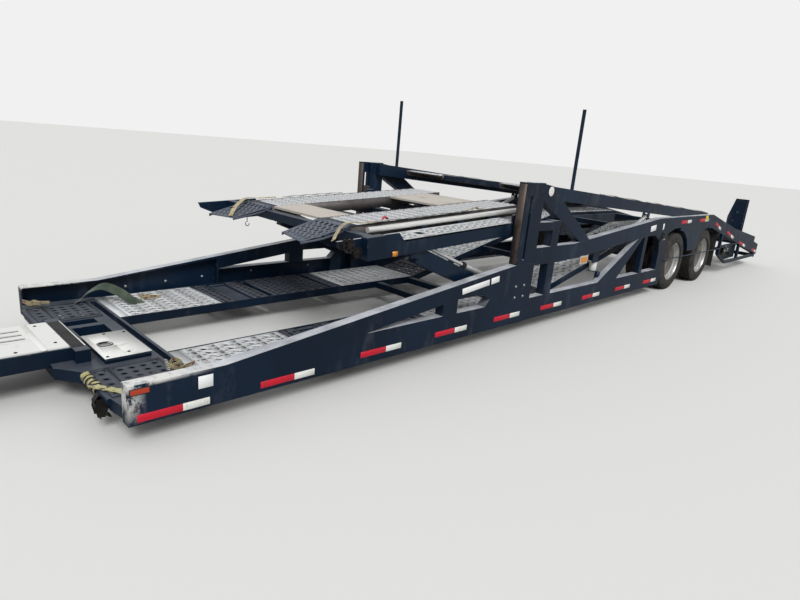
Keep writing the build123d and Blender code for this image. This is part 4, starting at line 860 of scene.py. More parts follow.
class TRAILER_OT_wheels(bpy.types.Operator):
    """Treaded tyres, deep-dished rims with hand holes, hubs, studs and brake drums"""

    bl_idname = "trailer.wheels"
    bl_label = "Wheels"

    def execute(self, context):
        for end in ("front", "rear"):
            for name, side in HANDS:
                self.twin(context.scene.trailer_wheel, f"{end}_{name}", side)
        return {"FINISHED"}

    def twin(self, settings, name, side):
        """One set of twin wheels; outer, inner and disc are the middles of both tyres and of the set."""
        body = f"wheels_{name}"
        hub = Vector(JOINTS[f"{body}_spin"]["pos_m"])
        outer = max(abs(corner.y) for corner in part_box(f"tyres_{name}")) - TYRE_WIDTH / 2
        inner = outer - TWIN_SPACING
        disc, back = (outer + inner) / 2, inner - RIM_HALF
        axis = (hub.x, 0.0, hub.z)
        tyres = [tyre_shell((hub.x, side * middle, hub.z), settings, side) for middle in (outer, inner)]
        piece(f"tyres_{name}_treaded", tyres, "tyre rubber", 35, body, stands_for=f"tyres_{name}")
        rims = [lathe(rim_profile(middle), axis, "y", 64, side) for middle in (outer, inner)]
        piece(f"rims_{name}_polished", rims, "polished rim", 40, body, stands_for=f"rims_{name}")
        discs = []
        for middle, away in ((outer, 1), (inner, -1)):
            drop = middle - away * (RIM_HALF - RIM_DROP)
            dish = [(DISC_EDGE, disc), (DISC_EDGE, disc + away * DISC_THICK),
                    (DISC_EDGE + 0.012, disc + away * 0.024), (RIM_BORE, drop), (RIM_BORE + 0.006, drop),
                    (DISC_EDGE + 0.022, disc + away * 0.018), (DISC_EDGE + 0.008, disc)]
            discs.append(lathe(dish, axis, "y", 64, side))
        for face in (disc + DISC_THICK, disc - GAP):
            discs += round_plate((hub.x, hub.z), face, side, settings.hole_circle, DISC_BORE, DISC_EDGE,
                                 settings.hand_holes, HAND_HOLE, DISC_THICK)
        piece(f"rim_discs_{name}", discs, "brake-dusted rim", 40, body, stands_for=f"rims_{name}")
        cap = max(abs(corner.y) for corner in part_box("axles")) + CAP_PROUD
        turned = [(0.0, inner), (HUB_RADIUS, inner), (HUB_RADIUS, disc + 0.012), (0.094, disc + 0.022),
                  (0.088, disc + 0.090), (0.094, disc + 0.096), (0.094, disc + 0.108), (0.080, cap - 0.018),
                  (0.074, cap - 0.004), (0.0, cap)]
        piece(f"hub_{name}", [lathe(turned, axis, "y", 32, side)], "skirt steel", 40, body)
        nut = [(0.0, 0.0), (0.016, 0.0), (0.016, 0.004), (0.0125, 0.006), (0.0125, 0.026), (0.010, 0.029),
               (0.008, 0.029), (0.008, 0.040), (0.0, 0.041)]
        nut = np.array(nut) + (0, disc + DISC_THICK)
        nuts = []
        for turn in (np.arange(settings.studs) + 0.5) * 2 * math.pi / settings.studs:
            x, z = settings.stud_circle * math.cos(turn), settings.stud_circle * math.sin(turn)
            nuts.append(lathe(nut, (hub.x + x, 0.0, hub.z + z), "y", 6, side))
        piece(f"wheel_nuts_{name}", nuts, "galvanised steel", body=body)
        drum = [(HUB_RADIUS, inner + 0.055), (0.196, inner + 0.055), (0.200, inner + 0.045),
                (0.200, back + 0.040), (0.208, back + 0.036), (0.208, back + 0.022), (0.200, back + 0.018),
                (0.200, back), (0.186, back), (0.186, inner + 0.040), (HUB_RADIUS, inner + 0.040)]
        piece(f"brake_drum_{name}", [lathe(drum, axis, "y", 40, side)], "greasy steel", 40, body)


# Nose: heights, distances from the middle and sizes in metres
NOSE_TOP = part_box("nose_deck")[1].z
PLATE_INNER, PLATE_OUTER, PLATE_TOP = 0.580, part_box("nose_plates")[1].y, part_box("nose_plates")[1].z
NOSE_PLATES = (((0.115, 0.465), (0.020, 0.042)), ((-0.005, 0.110), (0.018, 0.050)))  # stations and plain rims
PRESSED = 0.002  # how far the holes' rims are pressed down
FRONT_TUBE = (at(-0.020), 0.228, 0.024)  # x, height and radius of the round tubes across the front
LATCH, HATCH_SHEET, HATCH_WALL = (0.221, 0.226), 0.005, 0.008  # the hand hole's station and y; thicknesses
HATCH_BOLTS = ((0.284, 0.004), (0.310, 0.449), (0.155, 0.480), (0.425, 0.020))
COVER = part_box("tongue_cover")[1]
TONGUE_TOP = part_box("tongue")[1].z
TONGUE_BOLTS = ((-0.116, -0.237), (-0.087, 0.187), (-0.339, 0.265), (-0.70, 0.265), (-1.18, 0.265),
                (-0.339, -0.265), (-0.76, -0.265), (-1.18, -0.265))
COVER_SLOTS, SLOT_HALF = (-0.182, -0.087, 0.008), 0.0185
SMALL_BOLT = (0.008, 0.005)


def bolt_heads(name, spots, finish, size, height):
    """One piece of many bolt heads, each at (spot, axis, side)."""
    piece(name, [bolt(*spot, size, height) for spot in spots], finish)


class NoseSettings(bpy.types.PropertyGroup):
    """Plates and straps at the nose."""

    hole: bpy.props.FloatProperty(name="Nose hole", description="Hole width in the nose plates",
                                  default=0.034, unit="LENGTH")
    pitch: bpy.props.FloatProperty(name="Nose pitch", description="Hole spacing in the nose plates",
                                   default=0.077, unit="LENGTH")
    strap: bpy.props.FloatProperty(name="Strap", description="Width of the lashing straps", default=0.050,
                                   unit="LENGTH")


class TRAILER_OT_nose(bpy.types.Operator):
    """Punched plates, hatch cover, tongue fittings and lashings at the nose"""

    bl_idname = "trailer.nose"
    bl_label = "Nose"

    def execute(self, context):
        settings = context.scene.trailer_nose
        self.plates(settings)
        self.hatch()
        self.tongue()
        self.wrapped_strap(settings)
        self.ratchet((at(-0.050), 0.955, 0.205))
        self.lashings()
        return {"FINISHED"}

    def plates(self, settings):
        """Two punched plates a side, their holes' rims pressed down."""
        shells, pitch, thick = [], settings.pitch, PLATE_TOP - NOSE_TOP
        across, hole = (PLATE_INNER, PLATE_OUTER), (settings.hole, settings.hole)
        for side in SIDES:
            place = flat_place(PLATE_TOP, side)
            for stations, rim in NOSE_PLATES:
                shells += framed(place, stations, across, rim, thick, (pitch, pitch * 1.08), hole, -PRESSED,
                                 thick - 0.001, 16)
        piece("nose_plates_punched", shells, "charcoal enamel", stands_for="nose_plates")

    def hatch(self):
        """White sheet on a dark frame, with a squarish hand hole whose latch plate sits just under it, over a
        black well of painted shade.
        """
        low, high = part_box("hatch_cover")
        s0, s1, y0, y1, top = FRONT_CORNER - high.x, FRONT_CORNER - low.x, low.y, high.y, high.z
        place, reach, (u, v) = flat_place(top), 0.060, LATCH
        round_hole = (u - reach, u + reach), (v - reach, v + reach)
        shells = border(place, ((s0, s1), (y0, y1)), round_hole, (-HATCH_SHEET, 0.0))
        shells.append(punched(place, *round_hole, (2 * reach, 2 * reach), (0.084, 0.098), 0.0015, HATCH_SHEET,
                              32, blunt=0.75))
        piece("hatch_sheet", shells, "painted cover", stands_for="hatch_cover")
        wall, inner = [((s0 + gap, s1 - gap), (y0 + gap, y1 - gap)) for gap in (0.004, 0.004 + HATCH_WALL)]
        piece("hatch_frame", border(place, wall, inner, (low.z - top, -HATCH_SHEET - GAP)), "deck enamel",
              stands_for="hatch_cover")
        circle = round_outline(32, 0.75)
        plate = prism(circle * (0.037, 0.036) + LATCH, -0.016, -0.004, place, 0.0015)
        piece("hatch_latch_plate", [plate], "galvanised steel")
        # The black well under the latch plate is painted shade: it shows as a dark ring round the plate
        # inside the hand hole.
        well = prism(circle * (0.056, 0.053) + LATCH, -0.022, -0.0165, place, 0.001)
        piece("hatch_latch_well", [well], "black rubber")
        ring = np.vstack([circle, circle[:2]]) * (0.0500, 0.0475) + LATCH
        piece("hatch_latch_gasket", [tube(place(*ring.T, np.full(len(ring), 0.0012)), 0.0036, 6, False)],
              "black rubber", 60)
        bolt_heads("hatch_bolts", [(spot_on(s, y, top), "z", 1) for s, y in HATCH_BOLTS], "dark steel",
                   *SMALL_BOLT)

    def tongue(self):
        """Grip strip and edge trim on the cross beam, and on its cover bolts and black strips of painted
        shade in its slots.
        """
        wide, z = (-0.312, 0.312), TONGUE_TOP
        piece("tongue_grip_strip", [block((at(0.058), at(-0.014)), wide, (z, z + 0.003), 0.001)],
              "black rubber")
        trim = [block((at(0.068), at(0.061)), wide, (z, z + 0.004), 0.001),
                block((at(-0.161), at(-0.203)), (-COVER.y, COVER.y), (z, COVER.z - 0.001), 0.001)]
        piece("tongue_edge_trim", trim, "painted cover")
        # Black strips on the tongue's top within the cover's slots: painted shade in the slots.
        slots = [block((at(-0.205), at(-1.245)), (y - SLOT_HALF, y + SLOT_HALF), (z, z + 0.002), 0.0005)
                 for y in COVER_SLOTS]
        piece("tongue_slot_shadows", slots, "black rubber")
        bolt_heads("tongue_bolts", [(spot_on(s, y, COVER.z), "z", 1) for s, y in TONGUE_BOLTS], "dark steel",
                   *SMALL_BOLT)

    def wrapped_strap(self, settings):
        """A strap wound round the front tube: its radius swells as sin^2, and bands hold it."""
        x, z, radius = FRONT_TUBE
        turn = np.linspace(0.0, 13 * math.pi, 79)
        swell = radius + 0.006 + 0.006 * np.sin(turn * 0.31 + 0.5) ** 2
        helix = np.column_stack([x + swell * np.cos(turn), 0.600 + turn * 0.0062, z + swell * np.sin(turn)])
        end = [spot_on(-0.050, 0.800, 0.256), spot_on(-0.030, 0.880, 0.264), spot_on(0.020, 0.960, 0.268),
               spot_on(0.075, 1.040, 0.266)]
        piece("ratchet_strap_webbing", [webbing(helix, 0.040, (0.1, 1, 0), count=420),
                                        webbing(end, settings.strap, (1, 0.6, 0), 0.005, 24, 0.002)],
              "yellow webbing", 40)
        bands = [lathe([(radius + 0.004, y), (radius + 0.016, y + 0.002), (radius + 0.017, y + 0.014),
                        (radius + 0.004, y + 0.016)], (x, 0.0, z), "y", 24)
                 for y in (0.655, 0.700, 0.760, 0.815)]
        piece("ratchet_strap_bands", bands, "black rubber", 40)

    def ratchet(self, hung):
        """A ratchet buckle hanging on its strap: cheeks, toothed wheels, a winding of strap and a handle."""
        x, y, z = hung
        half, spool = 0.030, z - 0.040
        cheek = [(-0.034, 0.020), (0.028, 0.024), (0.040, -0.030), (0.026, -0.095), (-0.018, -0.100),
                 (-0.040, -0.040)]
        parts = []
        for face in (y - half - 0.004, y + half):
            parts.append(prism(np.add(cheek, (x, z)), 0.0, 0.004, flat_on_side(face, 1), 0.001))
            parts.append(lathe([(0.0, face - 0.004), (0.026, face - 0.004), (0.030, face),
                                (0.026, face + 0.008), (0.0, face + 0.008)], (x, 0, spool), "y", 11))
        handle = [(-0.02, -half, -0.085), (-0.05, -half, -0.105), (-0.055, 0, -0.112), (-0.05, half, -0.105),
                  (-0.02, half, -0.085)]
        parts.append(tube(np.add(handle, hung), 0.006, 8))
        parts.append(lathe([(0.012, y - 0.028), (0.024, y - 0.028), (0.027, y), (0.024, y + 0.028),
                            (0.012, y + 0.028)], (x, 0, spool), "y", 24))
        piece("ratchet_buckle", parts, "dark steel", 40)
        tail = [(0.01, 0, 0.050), (0.036, 0, 0.015), (0.030, 0, -0.03), (0.012, 0.004, -0.075),
                (0.004, 0.01, -0.115)]
        piece("ratchet_strap_tail", [webbing(np.add(tail, hung), 0.046, (0, 1, 0), 0.004, 30, 0.002)],
              "black rubber", 60)

    def lashings(self):
        """An arch of green webbing left at the nose, loose tan ends in knots, and a length of chain."""
        arch = [spot_on(0.36, -1.00, PLATE_TOP + 0.004), spot_on(0.42, -1.03, PLATE_TOP + 0.03),
                spot_on(0.50, -1.03, 0.355), spot_on(0.61, -0.99, 0.400), spot_on(0.72, -0.90, 0.350),
                spot_on(0.80, -0.82, BELLY_TOP + 0.030), spot_on(0.90, -0.86, BELLY_TOP + 0.010)]
        turns = [(0.55, 0.83, 0), (0.55, 0.83, -0.1), (0.55, 0.7, -0.2), (0.6, 0.35, -0.5),
                 (0.61, 0.05, -0.75), (0.62, 0.2, -0.5), (0.4, 0.9, 0)]
        piece("green_lashing_strap", [webbing(arch, 0.080, turns, count=60)], "green webbing", 60)
        knot = np.array([(0.00, 0.00, 0.010), (0.05, 0.03, 0.030), (0.09, -0.02, 0.016), (0.05, -0.05, 0.034),
                         (0.00, -0.01, 0.022), (-0.03, 0.04, 0.040), (0.02, 0.07, 0.014), (0.10, 0.05, 0.008),
                         (0.17, 0.02, 0.006)])
        ends = [webbing(knot * (-1, near, 1) + spot_on(s, y, height), 0.030, (0.2, 0.3, 1), count=70)
                for near, s, y, height in ((1, 0.455, 0.80, 0.262), (-1, 0.93, -0.90, 0.256),
                                           (-1, 0.03, -1.12, 0.256))]
        piece("tan_lashing_ends", ends, "tan webbing", 60)
        bend = np.array([0.0, 0.013, 0.016, 0.013, 0.0, -0.013, -0.016, -0.013, 0.0])
        along = np.array([0.012, 0.009, 0.0, -0.009, -0.012, -0.009, 0.0, 0.009, 0.012]) * 1.68
        links = []
        for index in range(7):
            across, up = (0.6, 0.1) if index % 2 == 0 else (0.1, 0.6)
            loop = np.column_stack([bend * across, along, bend * up])
            links.append(tube(loop + spot_on(0.47 - 0.008 * index, 0.70 + 0.026 * index, PLATE_TOP + 0.016),
                              0.0035, 6))
        piece("nose_chain", links, "galvanised steel", 60)


# Front deck: u counts back from the hinge on the walkways and forwards elsewhere, v across and w up
WALK_INNER, WALK_OUTER, WALK_TOP, WALK_THICK, FOLD = 0.900, 1.150, -0.030, 0.006, (-0.022, -0.006)
WALK_ENDS, WALK_GAP, WALK_JOINT = (-1.615, 0.064), (-1.375, -1.235), (-0.125, -0.120)
WALK_PITCH, WALK_HOLE, WALK_RIM, GAP_PITCH, GAP_HOLE = (0.062, 0.078), (0.038, 0.046), 0.012, 0.14, 0.095
FLAP_RIM, FLAP_PITCH, FLAP_HOLE = (0.06, 0.05), (0.176, 0.15), (0.115, 0.092)  # shares of the flap
FLAP_ROOT, FLAP_THICK, FLAP_LIP = 1.930, 0.008, (-0.026, -0.0085)
RAM_OFFSET, BARREL, GLAND, ROD = 0.109, (0.0306, 0.0200), (0.0335, 0.0175), 0.0166  # outer radius and bore


class TRAILER_OT_front_deck(bpy.types.Operator):
    """Punched walkways and nose flaps, strap winches, lamp, straps and rams of the front upper deck"""

    bl_idname = "trailer.front_deck"
    bl_label = "Front Deck Fittings"

    def execute(self, context):
        self.walkways()
        self.flaps()
        self.winch()
        self.straps()
        self.rams()
        return {"FINISHED"}

    def walkways(self):
        """Bright walkway: three rows of holes, one squarish gap near the front, and a folded outer edge."""
        shells, under = [], []
        whole = (WALK_INNER, WALK_OUTER)
        for side in SIDES:
            place = deck_place("front_deck", side, 0.0, WALK_TOP, -1)
            narrow = (WALK_INNER, WALK_OUTER - 0.022)
            for along, across, rim in (((WALK_GAP[1], WALK_JOINT[0]), whole, 0.016),
                                       ((WALK_JOINT[1], WALK_ENDS[1]), narrow, 0.010),
                                       ((WALK_ENDS[0], WALK_GAP[0]), whole, 0.016)):
                shells += framed(place, along, across, (WALK_RIM, rim), WALK_THICK, WALK_PITCH, WALK_HOLE,
                                 -0.001, WALK_THICK, 10, shift=0.4)
            shells.append(punched(place, WALK_GAP, whole, (GAP_PITCH, WALK_OUTER - WALK_INNER),
                                  (GAP_HOLE, GAP_HOLE), 0.0, WALK_THICK, 24, blunt=0.4))
            shells.append(strip(place, (WALK_ENDS[0], -0.130), (WALK_OUTER - 0.004, WALK_OUTER), FOLD))
            shells.append(strip(place, WALK_ENDS, (WALK_INNER, WALK_INNER + 0.004), FOLD))
            under.append(strip(place, (-1.600, 0.050), (WALK_INNER + 0.006, WALK_OUTER - 0.030),
                               (-0.050, -0.046)))
        piece("walkway_web_flanges", under, "deck enamel", body="front_deck")
        piece("front_walkways_punched", shells, "punched aluminium", body="front_deck",
              stands_for="front_walkways")

    def flaps(self):
        """Bent nose flaps with rows of square holes.

        In along a and across b, from 0 to 1: u = root + a (end(b) - root), v runs between the flap's two
        sides, w follows the bends at u.
        """
        shells = []
        for side in SIDES:
            deck = deck_place("front_deck", side)

            def place(a, b, w):
                u = FLAP_ROOT + a * (2.340 + 0.060 * b - FLAP_ROOT)
                inner = np.interp(a, (0, 0.4, 1), (0.380, 0.380, 0.410))
                outer = np.interp(a, (0, 0.65, 1), (0.830, 0.830, 0.770))
                rise = np.interp(u, (FLAP_ROOT, 2.010, 2.200, 2.400), (0.068, 0.038, 0.005, -0.025))
                return deck(u, inner + (outer - inner) * b, rise + w)

            shells += framed(place, (0.0, 1.0), (0.0, 1.0), FLAP_RIM, FLAP_THICK, FLAP_PITCH, FLAP_HOLE,
                             0.003, FLAP_THICK, 12, blunt=0.55)
            shells += [strip(place, (0.0, 1.0), edge, FLAP_LIP, 8) for edge in ((0.0, 0.012), (0.988, 1.0))]
        piece("front_deck_flaps_punched", shells, "flap enamel", body="front_deck",
              stands_for="front_deck_flaps")

    def winch(self):
        """The strap winch on the near web, pierced discs on stub shafts, and the amber lamp behind them."""
        low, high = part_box("strap_reel")
        (x, _, z), radius, web, face = (low + high) / 2, (high.z - low.z) / 2, low.y, high.y
        shells = round_plate((x, z), face - 0.012, 1, radius * 0.62, radius * 0.30, radius * 0.97, 6,
                             (0.024, 0.026), 0.010)
        shaft = [(0.0, web), (0.020, web), (0.020, face - 0.008), (0.024, face - 0.006), (0.024, face),
                 (0.0, face)]
        sleeve = [(0.026, web), (0.044, web), (0.044, face - 0.024), (0.026, face - 0.024)]
        shells += [lathe(shaft, (x, 0, z), "y", 16), lathe(sleeve, (x, 0, z), "y", 24)]
        piece("strap_winch", shells, "dark steel", 40, "front_deck", stands_for="strap_reel")
        small, lamp = placed(deck_place("front_deck", 1), [(2.150, web, -0.070), (1.725, web, -0.142)])
        shells = round_plate(small[[0, 2]], web + 0.034, 1, 0.030, 0.014, 0.046, 6, (0.015, 0.015), 0.008)
        shells.append(lathe([(0.0, web), (0.014, web), (0.014, web + 0.040), (0.0, web + 0.042)],
                            (small[0], 0, small[2]), "y", 16))
        piece("winch_ratchet_wheel", shells, "dark steel", 40, "front_deck")
        long, high = 0.028, 0.022
        lens = block((lamp[0] - long, lamp[0] + long), (web, web + 0.014), (lamp[2] - high, lamp[2] + high),
                     0.004)
        piece("deck_side_lamp", [lens], "amber lens", body="front_deck")

    def straps(self):
        """Strap guides bent over the lead plates, webbing left along the near edge tube, and a chain hook."""
        near, far = deck_place("front_deck", 1), deck_place("front_deck", -1)
        guides = [
            webbing(placed(near, [(2.330, 1.100, 0.034), (2.230, 1.020, 0.070), (2.080, 0.920, 0.105),
                                  (1.940, 0.860, 0.098), (1.790, 0.845, 0.078), (1.640, 0.842, 0.076)]),
                    0.040, (0.45, 0.9, 0)),
            webbing(placed(far, [(2.350, 0.440, -0.004), (2.240, 0.540, 0.060), (2.080, 0.680, 0.098),
                                 (1.950, 0.800, 0.096), (1.800, 0.842, 0.078), (1.600, 0.842, 0.076)]),
                    0.040, (0.5, -0.8, 0))]
        green = [
            webbing(placed(near, [(1.700, 0.846, 0.074), (1.360, 0.842, 0.072), (1.000, 0.846, 0.075),
                                  (0.620, 0.842, 0.072), (0.420, 0.846, 0.074)]),
                    0.050, (0, 1, 0.25), count=90, ripple=0.003),
            webbing(placed(far, [(1.500, 0.842, 0.072), (1.100, 0.846, 0.074), (0.700, 0.842, 0.072)]),
                    0.050, (0, 1, 0.1), count=60, ripple=0.003)]
        tan = [webbing(placed(near, [(0.430, 0.840, 0.075), (0.380, 0.860, 0.094), (0.330, 0.830, 0.080),
                                     (0.300, 0.850, 0.100), (0.240, 0.840, 0.078), (0.150, 0.842, 0.072)]),
                       0.036, (0.2, 1, 0.3), count=50)]
        red = [webbing(placed(near, [(1.600, 0.850, 0.086), (1.565, 0.862, 0.108), (1.535, 0.846, 0.092),
                                     (1.560, 0.836, 0.112), (1.590, 0.850, 0.094)]),
                       0.028, (0.3, 1, 0.2), 0.003)]
        turn, bend = np.linspace(0.0, 1.5 * math.pi, 14), 0.024
        crook = np.column_stack([bend * np.sin(turn), np.zeros(14), bend * np.cos(turn) - 0.075])
        hook = np.concatenate([[(0, 0, 0), (0, 0, -0.050)], crook]) + (1.78, 1.140, -0.165)
        for name, shells, finish in (("strap_guides", guides, "tan webbing"),
                                     ("deck_green_straps", green, "green webbing"),
                                     ("deck_strap_ends", tan, "tan webbing"),
                                     ("deck_red_tags", red, "red tape"),
                                     ("chain_hook", [tube(placed(far, hook), 0.005, 8)], "galvanised steel")):
            piece(name, shells, finish, 60, "front_deck")

    def rams(self):
        """Bright hollow barrels, glands and rods along the lift arms."""
        for name, _ in HANDS:
            ahead = Vector(JOINTS[f"lift_sleeve_{name}_slide"]["axis"])
            turn = np.array(Vector((1, 0, 0)).rotation_difference(ahead).to_matrix())
            foot = np.array(JOINTS[f"lift_arm_{name}_turn"]["pos_m"]) + turn @ (0, 0, RAM_OFFSET)

            def rod(start, end, radius):
                return tube(foot + np.linspace(start, end, 4)[:, None] * np.array(ahead), radius, 20)

            def ring(start, end, outer, bore):
                """A hollow round along the ram: a lathe's profile about x, turned to lie ahead."""
                wall = [(bore, start), (outer, start), (outer, end), (bore, end)]
                points, faces = lathe(wall, (0, 0, 0), "x", 24)
                return points @ turn.T + foot, faces

            glands = [ring(0.614, 0.646, *GLAND), rod(0.06, 0.079, GLAND[0])]
            piece(f"ram_barrel_{name}", [ring(0.078, 0.622, *BARREL)], "chromed rod", 40, f"lift_arm_{name}")
            piece(f"ram_gland_{name}", glands, "black rubber", 40, f"lift_arm_{name}")
            piece(f"ram_rod_{name}", [rod(0.660, 1.288, ROD)], "chromed rod", 40, f"lift_sleeve_{name}")


# Reflective tape on the side frames: station of the front end and height of the middle line
TAPES = ((0.050, 0.191), (0.880, 0.201), (1.790, 0.233), (2.680, 0.244), (3.580, 0.248), (4.460, 0.243),
         (5.420, 0.239), (6.340, 0.241), (7.250, 0.238))
RED_TAPE, WHITE_TAPE, TAPE_WIDTH = 0.279, 0.178, 0.050
# Tape on the ramp beams and the chord: two ends (station, height)
RAMP_TAPES = (((9.990, 1.014), (10.350, 0.893)), ((10.780, 0.824), (11.260, 0.686)),
              ((11.740, 0.573), (12.210, 0.467)), ((12.820, 0.357), (13.160, 0.290)),
              ((8.300, 1.085), (8.740, 1.090)), ((9.130, 1.090), (9.560, 1.090)))
# Blank labels: two ends (station, height) of the middle line, width, finish
LABELS = (((0.430, 0.330), (0.530, 0.330), 0.085, "blank label"),
          ((3.010, 0.612), (3.420, 0.660), 0.058, "blank label"),
          ((3.450, 0.664), (3.580, 0.679), 0.062, "blank label"),
          ((7.150, 1.028), (7.330, 1.046), 0.080, "blank label"),
          ((7.580, 1.045), (7.630, 1.047), 0.090, "blank label"),
          ((9.400, 1.124), (9.510, 1.124), 0.080, "yellow label"))
# Lamps: bezel's piece, lens's piece, stations, middle height, height and the bezel's edge
SIDE_LAMPS = (("side_lamp_bezels", "side_lamp_lenses", 5.195, 5.380, 0.736, 0.100, 0.020),
              ("lamp_bezels", "front_lamp_lenses", 0.010, 0.130, 0.367, 0.042, 0.006))
REFLECTOR = (at(4.310), 0.0, 1.546)
GUIDE_FACE, GUIDE_WEAR = (1.198, 1.282), (0.80, 1.615)
RAIL_BOLTS = ((0.90, 0.30), (1.30, 0.31), (1.70, 0.32), (2.30, 0.33), (3.10, 0.33))
PLATE_BOLTS = ((3.90, 0.44), (4.05, 0.44), (3.90, 0.56), (4.05, 0.56), (7.66, 0.85), (7.72, 0.85))


def side_strip(side, start, end, width, thick=STAND_OFF):
    """A flat strip on a side frame's face between two points (station, height), of that width across."""
    start, end = np.array(start), np.array(end)
    ahead = unit(end - start)
    across = np.array([-ahead[1], ahead[0]]) * width / 2
    outline = np.array([start - across, end - across, end + across, start + across])
    outline[:, 0] = at(outline[:, 0])
    return prism(outline, 0.0, thick, flat_on_side(FRAME_FACE, side), thick / 4)


class TRAILER_OT_markings(bpy.types.Operator):
    """Reflective tape, blank labels, lamps, reflectors and worn guide strips on the side frames"""

    bl_idname = "trailer.markings"
    bl_label = "Markings and Lamps"

    def execute(self, context):
        self.tapes()
        self.lamps()
        self.wear()
        return {"FINISHED"}

    def tapes(self):
        """Each tape is a red length and then a white one; labels are as thick as two tapes."""
        length = RED_TAPE + WHITE_TAPE
        runs = [((station, height), (station + length, height)) for station, height in TAPES]
        shells = {"red tape": [], "white tape": [], "blank label": [], "yellow label": []}
        for side in SIDES:
            for start, end in (*runs, *RAMP_TAPES):
                middle = np.array(start) + np.subtract(end, start) * RED_TAPE / length
                shells["red tape"].append(side_strip(side, start, middle, TAPE_WIDTH))
                shells["white tape"].append(side_strip(side, middle, end, TAPE_WIDTH))
            for start, end, width, finish in LABELS:
                shells[finish].append(side_strip(side, start, end, width, 2 * STAND_OFF))
        for finish, made in shells.items():
            plural = "s" if finish.endswith("label") else ""
            piece(finish.replace(" ", "_") + plural, made, finish)

    def lamps(self):
        """Side lamps in dark bezels and the round clear reflectors on the posts."""
        face, edge = FRAME_FACE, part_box("marker_lamps")[1].y
        proud = edge - face
        shells = {"lamp_bezels": [], "side_lamp_bezels": [], "side_lamp_lenses": [], "front_lamp_lenses": [],
                  "post_reflectors": []}
        for side in SIDES:
            for bezel, lens, s0, s1, z, high, rim in SIDE_LAMPS:
                shells[bezel].append(side_strip(side, (s0, z), (s1, z), high, proud * 0.6))
                shells[lens].append(side_strip(side, (s0 + rim, z), (s1 - rim, z), high - 1.8 * rim, proud))
            disc = [(0.0, face), (0.050, face), (0.050, edge - 0.003), (0.044, edge - 0.001), (0.026, edge),
                    (0.0, edge)]
            ring = [(0.0505, face), (0.058, face), (0.058, face + proud / 2), (0.0505, face + proud / 2)]
            shells["post_reflectors"].append(lathe(disc, REFLECTOR, "y", 32, side))
            shells["lamp_bezels"].append(lathe(ring, REFLECTOR, "y", 32, side))
        for (name, made), finish in zip(shells.items(), ("black rubber", "board", "amber lens", "orange lens",
                                                         "clear reflector")):
            piece(name, made, finish, 40, stands_for="marker_lamps")

    def wear(self):
        """Worn steel on the guides' front faces, and bolt heads along the side frames."""
        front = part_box("posts")[1].x
        strips = [block((front, front + 0.0015), GUIDE_FACE, GUIDE_WEAR, 0.0004, side) for side in SIDES]
        piece("guide_wear_strips", strips, "greasy steel")
        spots = []
        for side in SIDES:
            spots += [(spot_on(s, side * (FRAME_FACE - 0.010), z), "y", -side) for s, z in RAIL_BOLTS]
            spots += [(spot_on(s, side * FRAME_FACE, z), "y", side) for s, z in PLATE_BOLTS]
        bolt_heads("frame_bolts", spots, "galvanised steel", 0.010, 0.007)


# Running gear: a leaf pack under each axle, its leaves LEAF_STEP shorter one below the other
TRACK, LEAVES, LEAF_HALF, LEAF_STEP, LEAF_WIDE, LEAF_THICK = 0.450, 5, 0.50, 0.085, 0.072, 0.010
LEAF_HEIGHT, LEAF_RISE, SAG = 0.582, 0.011, 0.10  # of the middle leaf, from leaf to leaf, at the ends
U_BOLT, U_BOLT_HALVES = ((0.0, 0.400), (0.009, 0.400), (0.009, 0.640), (0.0, 0.640)), (0.060, 0.044)
CLAMP = ((0.085, 0.058), (0.618, 0.634))  # half its length and width, then its heights
CHAMBER = (0.235, 0.270, 0.470)  # how far behind the axle, y and height of a brake chamber
CHAMBER_PROFILE = ((0.0, -0.085), (0.045, -0.085), (0.072, -0.070), (0.080, -0.030), (0.086, -0.024),
                   (0.086, -0.008), (0.080, 0.0), (0.078, 0.060), (0.060, 0.085), (0.0, 0.090))
PUSH_ROD = (-0.15, -0.075)  # its ends, from the axle
GUARD_WINCHES = ((7.650, 0.905, 0.055), (7.560, 0.850, 0.034))  # station, height and radius


